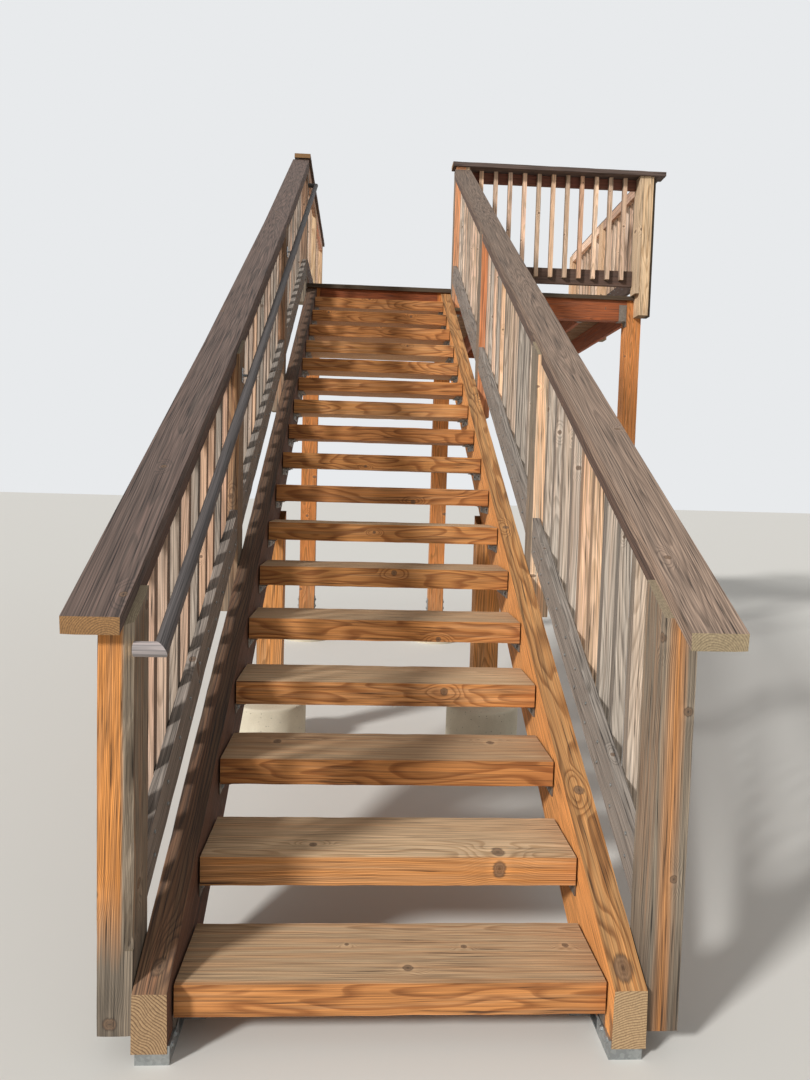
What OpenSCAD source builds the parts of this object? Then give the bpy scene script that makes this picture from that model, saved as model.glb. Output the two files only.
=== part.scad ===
// Wooden deck stairs: a straight flight of solid timber treads between two
// sawn stringers, railed on both sides, rising to a railed timber landing.
// Millimetres. X runs across the flight, Y runs up it, Z is up.

/* [Flight] */
// Height of each step
rise = 180; // [172:1:186]
// Going of each step, nosing to nosing
run = 318; // [300:1:330]
// Going from the last tread to the deck's front edge
last_going = 277; // [260:1:290]
// Clear width between the stringers
clear_width = 1120; // [900:10:1200]
// Thickness of a tread
tread_thickness = 89; // [60:1:95]
// Depth of a tread, front to back
tread_depth = 286; // [240:1:295]
// Gap between a tread's end and the stringer
tread_end_gap = 5; // [2:1:8]

/* [Stringers] */
// Thickness of a stringer
stringer_thickness = 89; // [60:1:95]
// Depth of a stringer, square to its slope
stringer_depth = 286; // [250:1:300]
// Height of the top edge over the nosing line at the foot
lift_foot = 30; // [10:1:40]
// Height of the top edge over the nosing line at the head
lift_head = -30; // [-40:1:0]
// How far the plumb-cut nose stands in front of the first tread
nose_reach = 45; // [30:1:60]
// Height of the level seat cut over the ground
seat_height = 30; // [20:1:40]

/* [Tread clips] */
// Length of the angle under a tread's end
clip_length = 257; // [200:1:260]
// Leg of the angle
clip_leg = 38; // [30:1:45]
// Thickness of the angle
clip_thickness = 4; // [3:0.5:6]

/* [Stair rail] */
// Width of a rail post, across the flight
post_side = 89; // [80:1:95]
// Depth of a rail post, along the flight
post_depth = 140; // [120:1:145]
// Front face of the first post
post_1 = -28; // [-40:1:-20]
// Front face of the second post
post_2 = 1560; // [1520:1:1600]
// Front face of the third post
post_3 = 3450; // [3420:1:3480]
// Lower end of the first post over the ground
post_1_bottom = 65; // [50:1:90]
// Lower end of the middle posts over the stringer's lower edge
post_end_rise = 130; // [90:1:150]
// Waney bevel on the inner front corner of the left first post
post_1_wane = 24; // [10:1:30]
// Height of the left cap's top over the nosing line at the first post
cap_left_1 = 979; // [960:1:990]
// Height of the left cap's top over the nosing line at the second post
cap_left_2 = 979; // [960:1:990]
// Height of the left cap's top over the nosing line at the third post
cap_left_3 = 1024; // [1000:1:1040]
// Height of the left cap's top over the nosing line at the top post
cap_left_4 = 1113; // [1090:1:1115]
// Height of the right cap's top over the nosing line at the first post
cap_right_1 = 1021; // [1000:1:1030]
// Height of the right cap's top over the nosing line at the second post
cap_right_2 = 1023; // [1000:1:1035]
// Height of the right cap's top over the nosing line at the third post
cap_right_3 = 1049; // [1030:1:1065]
// Height of the right cap's top over the nosing line at the top post
cap_right_4 = 1097; // [1080:1:1110]
// Width of the cap board
cap_width = 140; // [130:1:145]
// Thickness of the cap board
cap_thickness = 38; // [35:1:45]
// Setback of the cap's inner edge from the posts' inner faces
cap_setback = 24; // [10:1:30]
// How much nearer the flight a cap is at its head than at its foot
cap_turn = 33; // [20:1:35]
// How far the left cap runs out in front of the first post
cap_overhang_left = 33; // [20:1:50]
// How far the right cap runs out in front of the first post
cap_overhang_right = 107; // [80:1:120]
// Width of the flat board under the cap
subrail_width = 89; // [80:1:95]
// Thickness of the flat board under the cap
subrail_thickness = 38; // [35:1:40]
// Height of the bottom rail's lower edge over the nosing line
bottom_rail_height = 103; // [90:1:120]
// Depth of the bottom rail, square to its slope
bottom_rail_depth = 140; // [130:1:145]
// Thickness of the bottom rail
bottom_rail_thickness = 38; // [35:1:40]
// Side of a square baluster
baluster_side = 38; // [32:1:42]
// Spacing of the balusters
baluster_pitch = 146; // [144:1:147]
// Front face of the first baluster
baluster_first = 162; // [155:1:170]
// Height of a baluster's foot over the bottom rail's lower edge
baluster_foot = 12; // [5:1:25]

/* [Grab rail] */
// Diameter of the grab rail
grab_diameter = 38; // [34:1:42]
// Distance from the posts' inner faces to the grab rail's axis
grab_standoff = 64; // [55:1:70]
// Height of the grab rail's axis over the nosing line
grab_height = 878; // [850:1:890]
// Place of the lower return along the flight
grab_low = -28; // [-30:1:-20]
// Place of the upper return along the flight
grab_high = 5330; // [5322:1:5340]
// Height of a bracket's plate on its post
bracket_height = 64; // [50:1:80]
// Width of a bracket's plate
bracket_width = 38; // [30:1:45]
// Thickness of a bracket's arm
bracket_arm = 12; // [8:1:14]

/* [Supports] */
// Side of a square support post
leg_side = 140; // [130:1:145]
// Front face of the posts under the middle of the flight
leg_middle = 2400; // [2350:10:2450]
// Distance from the flight's centre to a support post's centre
leg_offset = 600; // [600:1:605]
// Diameter of a concrete pier
pier_diameter = 406; // [380:1:440]
// Height of a concrete pier over the ground
pier_height = 230; // [200:5:250]
// Standoff of a post over its pier
base_standoff = 25; // [20:1:30]
// Thickness of the steel straps and base plates
plate_thickness = 6; // [5:1:8]
// Width of a post base's strap
strap_width = 76; // [60:1:90]
// Height of a post base's strap over the post's foot
strap_height = 140; // [100:5:160]

/* [Stringer shoes] */
// Width of the anchor tab beside the stringer
shoe_flange = 62; // [55:1:70]
// Length of the anchor tab
shoe_tab = 130; // [120:1:140]
// How much narrower than the stringer the shoe is
shoe_inset = 9; // [4:1:12]
// Height of the shoe's upright wing
shoe_wing = 50; // [40:1:52]
// Length of the wing
shoe_wing_length = 105; // [80:1:120]
// Diameter of an anchor hole
anchor_hole = 14; // [12:1:16]
// Spacing of the anchor holes along the flight
anchor_spacing = 76; // [70:1:80]

/* [Landing] */
// Distance from the flight's centre to the landing's right edge
landing_right = 2345; // [2330:1:2400]
// Thickness of a deck board
board_thickness = 38; // [35:1:40]
// Width of a deck board
board_width = 140; // [139:1:141]
// Gap between deck boards
board_gap = 5; // [4:1:6]
// How far the deck boards overhang the front beams
nosing_overhang = 24; // [20:1:30]
// Depth of the beams and joists
joist_depth = 184; // [170:1:190]
// Thickness of a joist
joist_thickness = 38; // [35:1:40]
// Thickness of a front beam
beam_thickness = 89; // [80:1:95]
// Joists between the two middle support posts
middle_joists = 2; // [1:1:2]
// Joists between the middle and the corner support post
right_joists = 3; // [2:1:3]
// Thickness of a joist hanger's steel
hanger_thickness = 3; // [2:0.5:4]
// Length of a hanger's seat under the joist
hanger_seat = 50; // [40:1:60]
// Width of a hanger's flange
hanger_flange = 32; // [25:1:35]
// Height of a joist hanger
hanger_height = 144; // [120:1:150]

/* [Landing guard] */
// Height of the guard cap's top over the deck
guard_height = 1067; // [1040:1:1080]
// Height of the bottom rail's lower edge over the deck
guard_rail_gap = 80; // [60:1:90]
// Height of a baluster's foot over the deck
guard_baluster_foot = 130; // [110:1:140]
// Depth of the board on edge under the guard cap
guard_subrail_depth = 89; // [80:1:95]
// Lower end of the guard posts under the deck's top
guard_post_drop = 193; // [170:1:215]
// Balusters in the front bay
front_balusters = 11; // [10:1:12]
// Balusters in each side bay
side_balusters = 8; // [7:1:9]
// Width of the nailing boards beside the guard's front posts
post_board_width = 89; // [80:1:95]
// Thickness of those boards
post_board_thickness = 38; // [35:1:40]
// How far the front cap runs out past the side cap
corner_cap_overhang = 25; // [0:1:30]
// How far the left cap stands in over the posts' inner faces
left_cap_reach = 21; // [10:1:30]
// How far the front cap's left end stands in over the top post
front_cap_reach = 27; // [10:1:35]

/* [Hidden] */
$fn = 48;

tread_count = 17;
board_count = 17;
slope = rise / run;
angle = atan(slope);
plumb = 1 / cos(angle);
deck_top = rise * (tread_count + 1);
board_front = run * (tread_count - 1) + last_going;
head_y = board_front + nosing_overhang;
x_in = clear_width / 2;
x_out = x_in + stringer_thickness;
post_out = x_out + post_side;
cap_in = x_out + cap_setback;
cap_out = cap_in + cap_width;
baluster_in = x_out + bottom_rail_thickness;
post_4 = head_y - post_depth;
posts_y = [post_1, post_2, post_3, post_4];
caps_left = [cap_left_1, cap_left_2, cap_left_3, cap_left_4];
caps_right = [cap_right_1, cap_right_2, cap_right_3, cap_right_4];
turn = cap_turn / (post_4 - post_1);
frame_top = deck_top - board_thickness;
frame_bottom = frame_top - joist_depth;
wall_y = board_front + board_count * (board_width + board_gap) - board_gap;
ledger_front = wall_y - joist_thickness;
guard_front = head_y - post_depth;
guard_cap_under = deck_top + guard_height - cap_thickness;
leg_bottom = pier_height + base_standoff;
leg_out = leg_offset + leg_side / 2;
corner_leg = landing_right + 8;
wall_post = wall_y - post_depth;
mid_post = (head_y + wall_post - post_depth) / 2;
front_cap_y = head_y - cap_setback - cap_width;
stringer_end_lift = (lift_head - lift_foot) / head_y;
guard_right = landing_right + cap_setback + cap_width + corner_cap_overhang;
x_mid = (guard_right - cap_out) / 2;
y_low = post_1 - cap_overhang_right;
y_mid = (y_low + wall_y) / 2;
seat_end = (seat_height - under(0)) / (slope + stringer_end_lift);
last_baluster = floor((post_4 - baluster_side - baluster_first) / baluster_pitch);
middle_bay = 2 * leg_offset - leg_side;
right_bay = corner_leg - leg_offset - leg_side;
joist_x = concat(
    [for (k = [1 : middle_joists]) middle_bay * (k / (middle_joists + 1) - 0.5)],
    [for (k = [1 : right_joists]) leg_out + right_bay * k / (right_joists + 1)]);

// Height of the nosing line over a place along the flight.
function nosing(y) = rise + slope * y;

// Top edge of a stringer.
function edge(y) = nosing(y) + lift_foot + stringer_end_lift * y;

// Lower edge of a stringer.
function under(y) = edge(y) - stringer_depth * plumb;

// Top of a side's cap over the nosing line, at a place along the flight. The
// board bends a little over the posts, so it is straight from post to post.
function cap_top(side, y) =
    lookup(y, [for (k = [0 : 3]) [posts_y[k], side < 0 ? caps_left[k] : caps_right[k]]]);

// Height of a side's cap top over the ground, less a drop.
function cap_level(side, y, drop) = nosing(y) + cap_top(side, y) - drop;

// Moves the flight's own frame to the shared one: centred, standing on zero.
module placed() {
    translate([-x_mid, -y_mid, 0])
        children();
}

module box(low, high) {
    translate(low)
        cube([high[0] - low[0], high[1] - low[1], high[2] - low[2]]);
}

// Extrudes a shape drawn as along-the-flight and up, between two X planes.
module upright(x0, x1) {
    translate([x0, 0, 0])
        rotate([90, 0, 90])
            linear_extrude(height = x1 - x0)
                children();
}

// A member between two plumb cuts, its edges a height over the nosing line.
module sloped(x0, x1, y0, y1, low, high) {
    upright(x0, x1)
        polygon([[y0, nosing(y0) + low], [y1, nosing(y1) + low],
            [y1, nosing(y1) + high], [y0, nosing(y0) + high]]);
}

// A member along a side's rail that follows the cap through the given places,
// between two drops under the cap's top, and turns with it towards the flight.
module under_cap(side, x0, x1, places, low, high) {
    back = [for (k = [len(places) - 1 : -1 : 0]) places[k]];
    left_or_right(side)
        multmatrix([[1, -turn, 0, turn * post_1], [0, 1, 0, 0], [0, 0, 1, 0]])
            upright(x0, x1)
                polygon(concat([for (y = places) [y, cap_level(side, y, low)]],
                    [for (y = back) [y, cap_level(side, y, high)]]));
}

module left_or_right(side) {
    if (side < 0) {
        mirror([1, 0, 0])
            children();
    } else {
        children();
    }
}

module both_sides() {
    children();
    mirror([1, 0, 0])
        children();
}

module stringer(side) {
    level_start = (frame_top - 0.5 - edge(0)) / (slope + stringer_end_lift);
    left_or_right(side)
        upright(x_in, x_out)
            polygon([[-nose_reach, seat_height], [seat_end, seat_height],
                [head_y, under(head_y)], [head_y, min(edge(head_y), frame_top - 0.5)],
                [min(level_start, head_y - 1), edge(min(level_start, head_y - 1))],
                [-nose_reach, edge(-nose_reach)]]);
}

module tread(i) {
    x = x_in - tread_end_gap;
    y = run * (i - 1);
    color([0.66, 0.54, 0.4])
        box([-x, y, rise * i - tread_thickness], [x, y + tread_depth, rise * i]);
}

module tread_clips() {
    inset = (tread_depth - clip_length) / 2;
    color([0.72, 0.76, 0.8])
        for (i = [1 : tread_count]) {
            y = run * (i - 1) + inset;
            z = rise * i - tread_thickness;
            both_sides()
                upright_angle(y, z);
        }
}

// One steel angle: a leg under the tread's end, a leg down the stringer's face.
module upright_angle(y, z) {
    union() {
        box([x_in - clip_leg, y, z - clip_thickness], [x_in, y + clip_length, z]);
        box([x_in - clip_thickness, y, z - clip_leg], [x_in, y + clip_length, z]);
    }
}

// A folded steel shoe under the stringer's seat: an open box of plate, a wing
// up the stringer's inner face, and a tab with two anchor holes behind it.
module stringer_shoe() {
    t = plate_thickness;
    y0 = 2 - nose_reach;
    y1 = seat_end - 10;
    x1 = x_out - shoe_inset;
    tab_middle = y1 - shoe_tab / 2;
    difference() {
        union() {
            box([x_in - t, y0, 0], [x1, y1, t]);
            box([x_in, y0, seat_height - t], [x1, y1, seat_height]);
            box([x_in, y0, 0], [x1, y0 + t, seat_height]);
            box([x_in, y1 - t, 0], [x1, y1, seat_height]);
            box([x_in - t, y0, 0], [x_in, y0 + shoe_wing_length, shoe_wing]);
            box([x_in - shoe_flange, y1 - shoe_tab, 0], [x_in, y1, t]);
        }
        for (s = [-1, 1])
            translate([x_in - shoe_flange / 2 - 3, tab_middle + s * anchor_spacing / 2, -1])
                cylinder(d = anchor_hole, h = t + 2);
    }
}

// A standoff base: a plate on the pier, a raised seat and two side straps.
module post_base(x, y) {
    half = leg_side / 2;
    translate([x, y, pier_height])
        union() {
            box([-half, -half + 10, 0], [half, half - 10, plate_thickness]);
            box([-half + 30, -half + 20, 0], [half - 30, half - 20, base_standoff]);
            for (s = [-1, 1])
                translate([s * (half + plate_thickness / 2), 0, 0])
                    box([-plate_thickness / 2 - 0.01, -strap_width / 2, 0],
                        [plate_thickness / 2 + 0.01, strap_width / 2,
                        base_standoff + strap_height]);
        }
}

module at_legs() {
    for (s = [-1, 1]) {
        translate([s * leg_offset, leg_middle + leg_side / 2, 0])
            children();
        translate([s * leg_offset, head_y + leg_side / 2, 0])
            children();
    }
    translate([corner_leg, head_y + leg_side / 2, 0])
        children();
}

module steel_bases() {
    color([0.72, 0.76, 0.8]) {
        both_sides()
            stringer_shoe();
        at_legs()
            post_base(0, 0);
    }
}

module concrete_piers() {
    color([0.72, 0.69, 0.64])
        at_legs()
            cylinder(d = pier_diameter, h = pier_height);
}

module support_posts() {
    y1 = leg_middle + leg_side;
    color([0.56, 0.42, 0.3]) {
        both_sides()
            upright(leg_offset - leg_side / 2, leg_out)
                polygon([[leg_middle, leg_bottom], [y1, leg_bottom],
                    [y1, under(y1)], [leg_middle, under(leg_middle)]]);
        both_sides()
            box([leg_offset - leg_side / 2, head_y, leg_bottom],
                [leg_out, head_y + leg_side, frame_top]);
        box([corner_leg - leg_side / 2, head_y, leg_bottom],
            [corner_leg + leg_side / 2, head_y + leg_side, frame_top]);
    }
}

// One post of the flight's rail, cut level below and to the cap's slope above.
module stair_post(side, k) {
    y0 = posts_y[k];
    y1 = y0 + post_depth;
    low = k == 0 ? post_1_bottom : under(y0) + post_end_rise;
    drop = cap_thickness * plumb;
    upright(x_out, post_out)
        polygon([[y0, low], [y1, low],
            [y1, cap_level(side, y1, drop)], [y0, cap_level(side, y0, drop)]]);
}

// The first post's inner front corner, where the timber has a waney edge.
module wane() {
    translate([0, 0, stringer_depth])
        linear_extrude(height = cap_left_1 + rise)
            polygon([[x_out - 1, post_1 - 1], [x_out + post_1_wane, post_1 - 1],
                [x_out - 1, post_1 + post_1_wane / 2]]);
}

module stair_posts(side) {
    color([0.55, 0.5, 0.44])
        left_or_right(side) {
            difference() {
                stair_post(side, 0);
                if (side < 0)
                    wane();
            }
            stair_post(side, 1);
            stair_post(side, 2);
            box([x_out, post_4, deck_top - guard_post_drop],
                [post_out, head_y, guard_cap_under]);
        }
}

module stair_cap(side) {
    start = post_1 - (side < 0 ? cap_overhang_left : cap_overhang_right);
    color([0.45, 0.38, 0.34])
        under_cap(side, cap_in, cap_out, concat([start], posts_y), cap_thickness * plumb, 0);
}

module stair_subrails() {
    color([0.42, 0.34, 0.29])
        for (side = [-1, 1])
            for (k = [0 : 2])
                under_cap(side, cap_in, cap_in + subrail_width,
                    [posts_y[k] + post_depth, posts_y[k + 1]],
                    (cap_thickness + subrail_thickness) * plumb, cap_thickness * plumb);
}

module stair_bottom_rails() {
    color([0.6, 0.57, 0.53])
        both_sides()
            for (k = [0 : 2])
                sloped(x_out, x_out + bottom_rail_thickness, posts_y[k] + post_depth,
                    posts_y[k + 1], bottom_rail_height,
                    bottom_rail_height + bottom_rail_depth * plumb);
}

// True where a baluster at y would run into a post.
function meets_post(y) =
    len([for (p = posts_y) if (y + baluster_side > p && y < p + post_depth) p]) > 0;

// A baluster from the bottom rail's face up to the flat board under the cap.
module stair_baluster(side, y) {
    y1 = y + baluster_side;
    low = bottom_rail_height + baluster_foot;
    drop = (cap_thickness + subrail_thickness) * plumb;
    upright(baluster_in, baluster_in + baluster_side)
        polygon([[y, nosing(y) + low], [y1, nosing(y1) + low],
            [y1, cap_level(side, y1, drop)], [y, cap_level(side, y, drop)]]);
}

module stair_balusters(side) {
    color([0.66, 0.61, 0.55])
        left_or_right(side)
            for (k = [0 : last_baluster]) {
                y = baluster_first + k * baluster_pitch;
                if (!meets_post(y))
                    stair_baluster(side, y);
            }
}

module grab_rail() {
    x = x_out - grab_standoff;
    z0 = nosing(grab_low) + grab_height;
    z1 = nosing(grab_high) + grab_height;
    r = grab_diameter / 2;
    color([0.66, 0.58, 0.48])
        mirror([1, 0, 0])
            union() {
                translate([x, grab_low, z0])
                    rotate([angle - 90, 0, 0])
                        translate([0, 0, -r])
                            cylinder(r = r, h = (grab_high - grab_low) * plumb + 2 * r);
                translate([x, grab_low, z0])
                    rotate([0, 90, 0])
                        cylinder(r = r - 1, h = grab_standoff);
                translate([x, grab_high, z1])
                    rotate([0, 90, 0])
                        cylinder(r = r - 1, h = grab_standoff);
            }
}

module grab_rail_brackets() {
    x = x_out - grab_standoff;
    drop = grab_diameter / 2 * plumb + 6;
    color([0.5, 0.5, 0.5])
        mirror([1, 0, 0])
            for (k = [1, 2]) {
                y = posts_y[k] + post_depth / 2;
                z = nosing(y) + grab_height - drop;
                w = bracket_width / 2;
                a = bracket_arm / 2;
                union() {
                    box([x_out - 5, y - w, z - 6 - bracket_height], [x_out, y + w, z - 6]);
                    box([x - 10, y - a, z - 4 * a], [x_out - 4, y + a, z - 2 * a]);
                    box([x - 10, y - a, z - 4 * a], [x + 10, y + a, z + 5.5]);
                }
            }
}

module deck_boards() {
    color([0.63, 0.5, 0.38])
        difference() {
            for (k = [0 : board_count - 1]) {
                y = board_front + k * (board_width + board_gap);
                box([-x_out, y, frame_top], [landing_right, y + board_width, deck_top]);
            }
            box([x_out - 2, board_front - 1, frame_top - 1],
                [post_out + 2, head_y + 2, deck_top + 1]);
        }
}

module deck_rim() {
    inner = leg_offset - leg_side / 2;
    back = head_y + leg_side;
    color([0.55, 0.27, 0.16]) {
        box([-inner, head_y, frame_bottom], [inner, head_y + beam_thickness, frame_top]);
        box([leg_out, head_y, frame_bottom],
            [corner_leg - leg_side / 2, head_y + beam_thickness, frame_top]);
        box([-x_out, back, frame_bottom], [joist_thickness - x_out, ledger_front, frame_top]);
        box([landing_right - joist_thickness, back, frame_bottom],
            [landing_right, ledger_front, frame_top]);
    }
}

module deck_joists() {
    half = joist_thickness / 2;
    color([0.55, 0.3, 0.18])
        union() {
            for (x = joist_x)
                box([x - half, head_y + beam_thickness, frame_bottom],
                    [x + half, ledger_front, frame_top]);
            box([leg_offset - half, head_y + leg_side, frame_bottom],
                [leg_offset + half, ledger_front, frame_top]);
        }
}

module deck_ledger() {
    color([0.52, 0.28, 0.17])
        box([-x_out, ledger_front, frame_bottom], [landing_right, wall_y, frame_top]);
}

// A steel stirrup that opens upwards, under the end of a joist or a beam.
// The joist runs along Y from the origin; its width is w.
module stirrup(w, h) {
    t = hanger_thickness;
    union() {
        box([-w / 2 - t, 0, -t], [w / 2 + t, hanger_seat, 0]);
        for (s = [0, 1])
            mirror([s, 0, 0]) {
                box([w / 2, 0, -t], [w / 2 + t, hanger_seat, h]);
                box([w / 2, 0, 0], [w / 2 + hanger_flange, t, h]);
            }
    }
}

// An angle seat under a front beam's end, fixed to the support post's side,
// with a flange up the beam's front where that is open.
module beam_seat(x, side, front) {
    t = hanger_thickness;
    translate([x, head_y, frame_bottom])
        left_or_right(side)
            union() {
                box([0, -t, -t], [hanger_seat + 20, beam_thickness, 0]);
                box([0, -t, -hanger_seat], [t, beam_thickness, 0]);
                if (front)
                    box([0, -t, -t], [hanger_seat + 20, 0, hanger_height]);
            }
}

module joist_hangers() {
    color([0.72, 0.76, 0.8]) {
        for (x = joist_x) {
            translate([x, head_y + beam_thickness, frame_bottom])
                stirrup(joist_thickness, hanger_height);
            translate([x, ledger_front, frame_bottom])
                mirror([0, 1, 0])
                    stirrup(joist_thickness, hanger_height);
        }
        for (at = [[leg_offset, head_y + leg_side, 0], [leg_offset, ledger_front, 1]])
            translate([at[0], at[1], frame_bottom])
                mirror([0, at[2], 0])
                    stirrup(joist_thickness, hanger_height);
        beam_seat(leg_out, 1, false);
        beam_seat(corner_leg - leg_side / 2, -1, true);
        beam_seat(leg_side / 2 - leg_offset, 1, false);
        beam_seat(leg_offset - leg_side / 2, -1, false);
    }
}

module deck_guard_posts() {
    low = deck_top - guard_post_drop;
    color([0.55, 0.36, 0.26]) {
        box([landing_right, guard_front, low],
            [landing_right + post_side, head_y, guard_cap_under]);
        for (y = [mid_post, wall_post]) {
            box([landing_right, y, low],
                [landing_right + post_side, y + post_depth, guard_cap_under]);
            box([-post_out, y, low], [-x_out, y + post_depth, guard_cap_under]);
        }
    }
}

// Boards that stand beside the front posts: two to nail the front rails to,
// and a darker one on the corner post's outer face.
module guard_post_boards() {
    low = deck_top - guard_post_drop;
    t = post_board_thickness;
    color([0.3, 0.24, 0.2]) {
        box([post_out, guard_front, deck_top], [post_out + t, head_y, guard_cap_under]);
        box([landing_right - t, guard_front, deck_top], [landing_right, head_y, guard_cap_under]);
        box([landing_right + post_side, head_y - post_board_width, low],
            [landing_right + post_side + t, head_y, guard_cap_under]);
    }
}

module deck_caps() {
    z1 = deck_top + guard_height;
    right_in = landing_right + cap_setback;
    left_in = left_cap_reach - x_out;
    color([0.45, 0.37, 0.33]) {
        box([left_in - cap_width, front_cap_y, guard_cap_under], [left_in, wall_y, z1]);
        box([x_out - front_cap_reach, front_cap_y, guard_cap_under],
            [guard_right, front_cap_y + cap_width, z1]);
        box([right_in, front_cap_y + cap_width + 0.5, guard_cap_under],
            [right_in + cap_width, wall_y, z1]);
    }
}

// One guard member between the posts on each open side of the landing.
module guard_members(z0, z1) {
    t = bottom_rail_thickness;
    b = post_board_thickness;
    box([post_out + b, head_y - t, z0], [landing_right - b, head_y, z1]);
    for (y = [head_y, mid_post + post_depth]) {
        y1 = y == head_y ? mid_post : wall_post;
        box([-x_out - t, y, z0], [-x_out, y1, z1]);
        box([landing_right, y, z0], [landing_right + t, y1, z1]);
    }
}

module deck_subrails() {
    color([0.5, 0.33, 0.24])
        guard_members(guard_cap_under - guard_subrail_depth, guard_cap_under);
}

module deck_bottom_rails() {
    z = deck_top + guard_rail_gap;
    color([0.58, 0.5, 0.44])
        guard_members(z, z + bottom_rail_depth);
}

module deck_balusters_front() {
    start = post_out + post_board_thickness - baluster_side;
    pitch = (landing_right - post_board_thickness - start) / (front_balusters + 1);
    y = head_y - bottom_rail_thickness;
    color([0.64, 0.48, 0.38])
        for (k = [1 : front_balusters]) {
            x = start + k * pitch;
            box([x, y - baluster_side, deck_top + guard_baluster_foot],
                [x + baluster_side, y, guard_cap_under]);
        }
}

module deck_balusters_sides() {
    t = bottom_rail_thickness;
    pitch = (mid_post - head_y + baluster_side) / (side_balusters + 1);
    z = deck_top + guard_baluster_foot;
    color([0.64, 0.48, 0.38])
        for (start = [head_y, mid_post + post_depth])
            for (k = [1 : side_balusters]) {
                y = start - baluster_side + k * pitch;
                y1 = y + baluster_side;
                box([-x_out - t - baluster_side, y, z], [-x_out - t, y1, guard_cap_under]);
                box([landing_right + t, y, z],
                    [landing_right + t + baluster_side, y1, guard_cap_under]);
            }
}

placed() color([0.7, 0.5, 0.3]) stringer(-1);  // stringer_left
placed() color([0.7, 0.5, 0.3]) stringer(1);  // stringer_right
placed() tread(1);  // tread_01
placed() tread(2);  // tread_02
placed() tread(3);  // tread_03
placed() tread(4);  // tread_04
placed() tread(5);  // tread_05
placed() tread(6);  // tread_06
placed() tread(7);  // tread_07
placed() tread(8);  // tread_08
placed() tread(9);  // tread_09
placed() tread(10);  // tread_10
placed() tread(11);  // tread_11
placed() tread(12);  // tread_12
placed() tread(13);  // tread_13
placed() tread(14);  // tread_14
placed() tread(15);  // tread_15
placed() tread(16);  // tread_16
placed() tread(17);  // tread_17
placed() tread_clips();
placed() steel_bases();
placed() stair_posts(-1);  // stair_posts_left
placed() stair_posts(1);  // stair_posts_right
placed() stair_cap(-1);  // stair_cap_left
placed() stair_cap(1);  // stair_cap_right
placed() stair_subrails();
placed() stair_bottom_rails();
placed() stair_balusters(-1);  // stair_balusters_left
placed() stair_balusters(1);  // stair_balusters_right
placed() grab_rail();
placed() grab_rail_brackets();
placed() support_posts();
placed() concrete_piers();
placed() deck_boards();
placed() deck_rim();
placed() deck_joists();
placed() deck_ledger();
placed() joist_hangers();
placed() deck_guard_posts();
placed() guard_post_boards();
placed() deck_caps();
placed() deck_subrails();
placed() deck_bottom_rails();
placed() deck_balusters_front();
placed() deck_balusters_sides();
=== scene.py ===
"""Wooden deck stairs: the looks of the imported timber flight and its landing.

Metres. X runs across the flight, Y up it, Z is up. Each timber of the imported
model is copied, gets eased and worn edges, and carries as attributes its own
grain frame, its knots and how far each side has weathered. One family of
timber finishes reads them. Geometry Nodes set the fasteners.
"""

import logging
import math
import random
from dataclasses import dataclass, field, replace
from enum import Enum
from typing import Any, NamedTuple

import bmesh
import bpy
from mathutils import Euler, Matrix, Vector, noise

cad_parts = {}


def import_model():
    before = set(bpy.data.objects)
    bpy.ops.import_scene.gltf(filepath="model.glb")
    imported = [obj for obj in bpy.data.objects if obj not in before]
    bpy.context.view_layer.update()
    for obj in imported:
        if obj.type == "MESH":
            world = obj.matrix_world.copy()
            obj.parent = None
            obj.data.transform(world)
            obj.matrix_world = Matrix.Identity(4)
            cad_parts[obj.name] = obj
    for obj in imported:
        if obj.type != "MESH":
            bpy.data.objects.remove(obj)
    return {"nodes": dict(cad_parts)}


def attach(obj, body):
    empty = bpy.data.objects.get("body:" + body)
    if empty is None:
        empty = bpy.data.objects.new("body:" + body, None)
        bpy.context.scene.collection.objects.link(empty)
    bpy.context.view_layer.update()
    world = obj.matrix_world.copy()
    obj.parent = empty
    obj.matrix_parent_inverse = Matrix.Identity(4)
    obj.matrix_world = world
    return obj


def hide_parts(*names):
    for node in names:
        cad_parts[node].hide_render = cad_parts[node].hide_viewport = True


LOG = logging.getLogger("deck_stairs")
BMesh = bmesh.types.BMesh
Layers = dict[str, bmesh.types.BMLayerItem]
Tree = bpy.types.NodeTree
Node = bpy.types.Node
Socket = bpy.types.NodeSocket
Source = Node | Socket
Material = bpy.types.Material
Mesh = bpy.types.Mesh
Object = bpy.types.Object
Colour = tuple[float, float, float, float]
Triple = tuple[float, float, float]

# In the flight's own millimetres: its step, half the clear width, the outer
# faces of the stringers and the posts, the posts' fronts, the stringers' head,
# and how much higher their top edge is than the nosings, less towards the head
RISE = 180.0
GOING = 318.0
INSIDE = 560.0
STRINGER_FACE = 649.0
POST_FACE = 738.0
POSTS_Y = (-28, 1560, 3450, 5249)
HEAD_Y = 5389.0
EDGE_RISE = 30.0
EDGE_LOSS = 60.0
SLOPE = math.atan2(RISE / 1000, GOING / 1000)
# In metres: the shared frame's origin in the flight, and the bottom rails
ORIGIN = Vector((0.8605, 3.845, 0.0))
RAIL_THICKNESS = 0.038
# What each timber carries for its finish, with the number of values
LAYERS = {"grain": 3, "tone": 1, "hue": 1}
# stain holds real stains together with painted shade and painted light
CORNER_LAYERS = {"knot": 3, "branch": 3, "weather": 1, "stain": 1, "end_grain": 1}
NO_KNOT = (Vector((99.0, 0.0, 0.0)), Vector((0.0, 0.0, 0.01)))
# Noise in timber: waves per metre along and across the grain, and octaves
SLOW_WAVES = ((2.6, 13, 13), 1.0)
FIBRE_WAVES = ((3, 230, 230), 2.0)
STREAK_WAVES = ((1.5, 60, 60), 3.0)
KNOT_WAVES = 17.0
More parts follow.
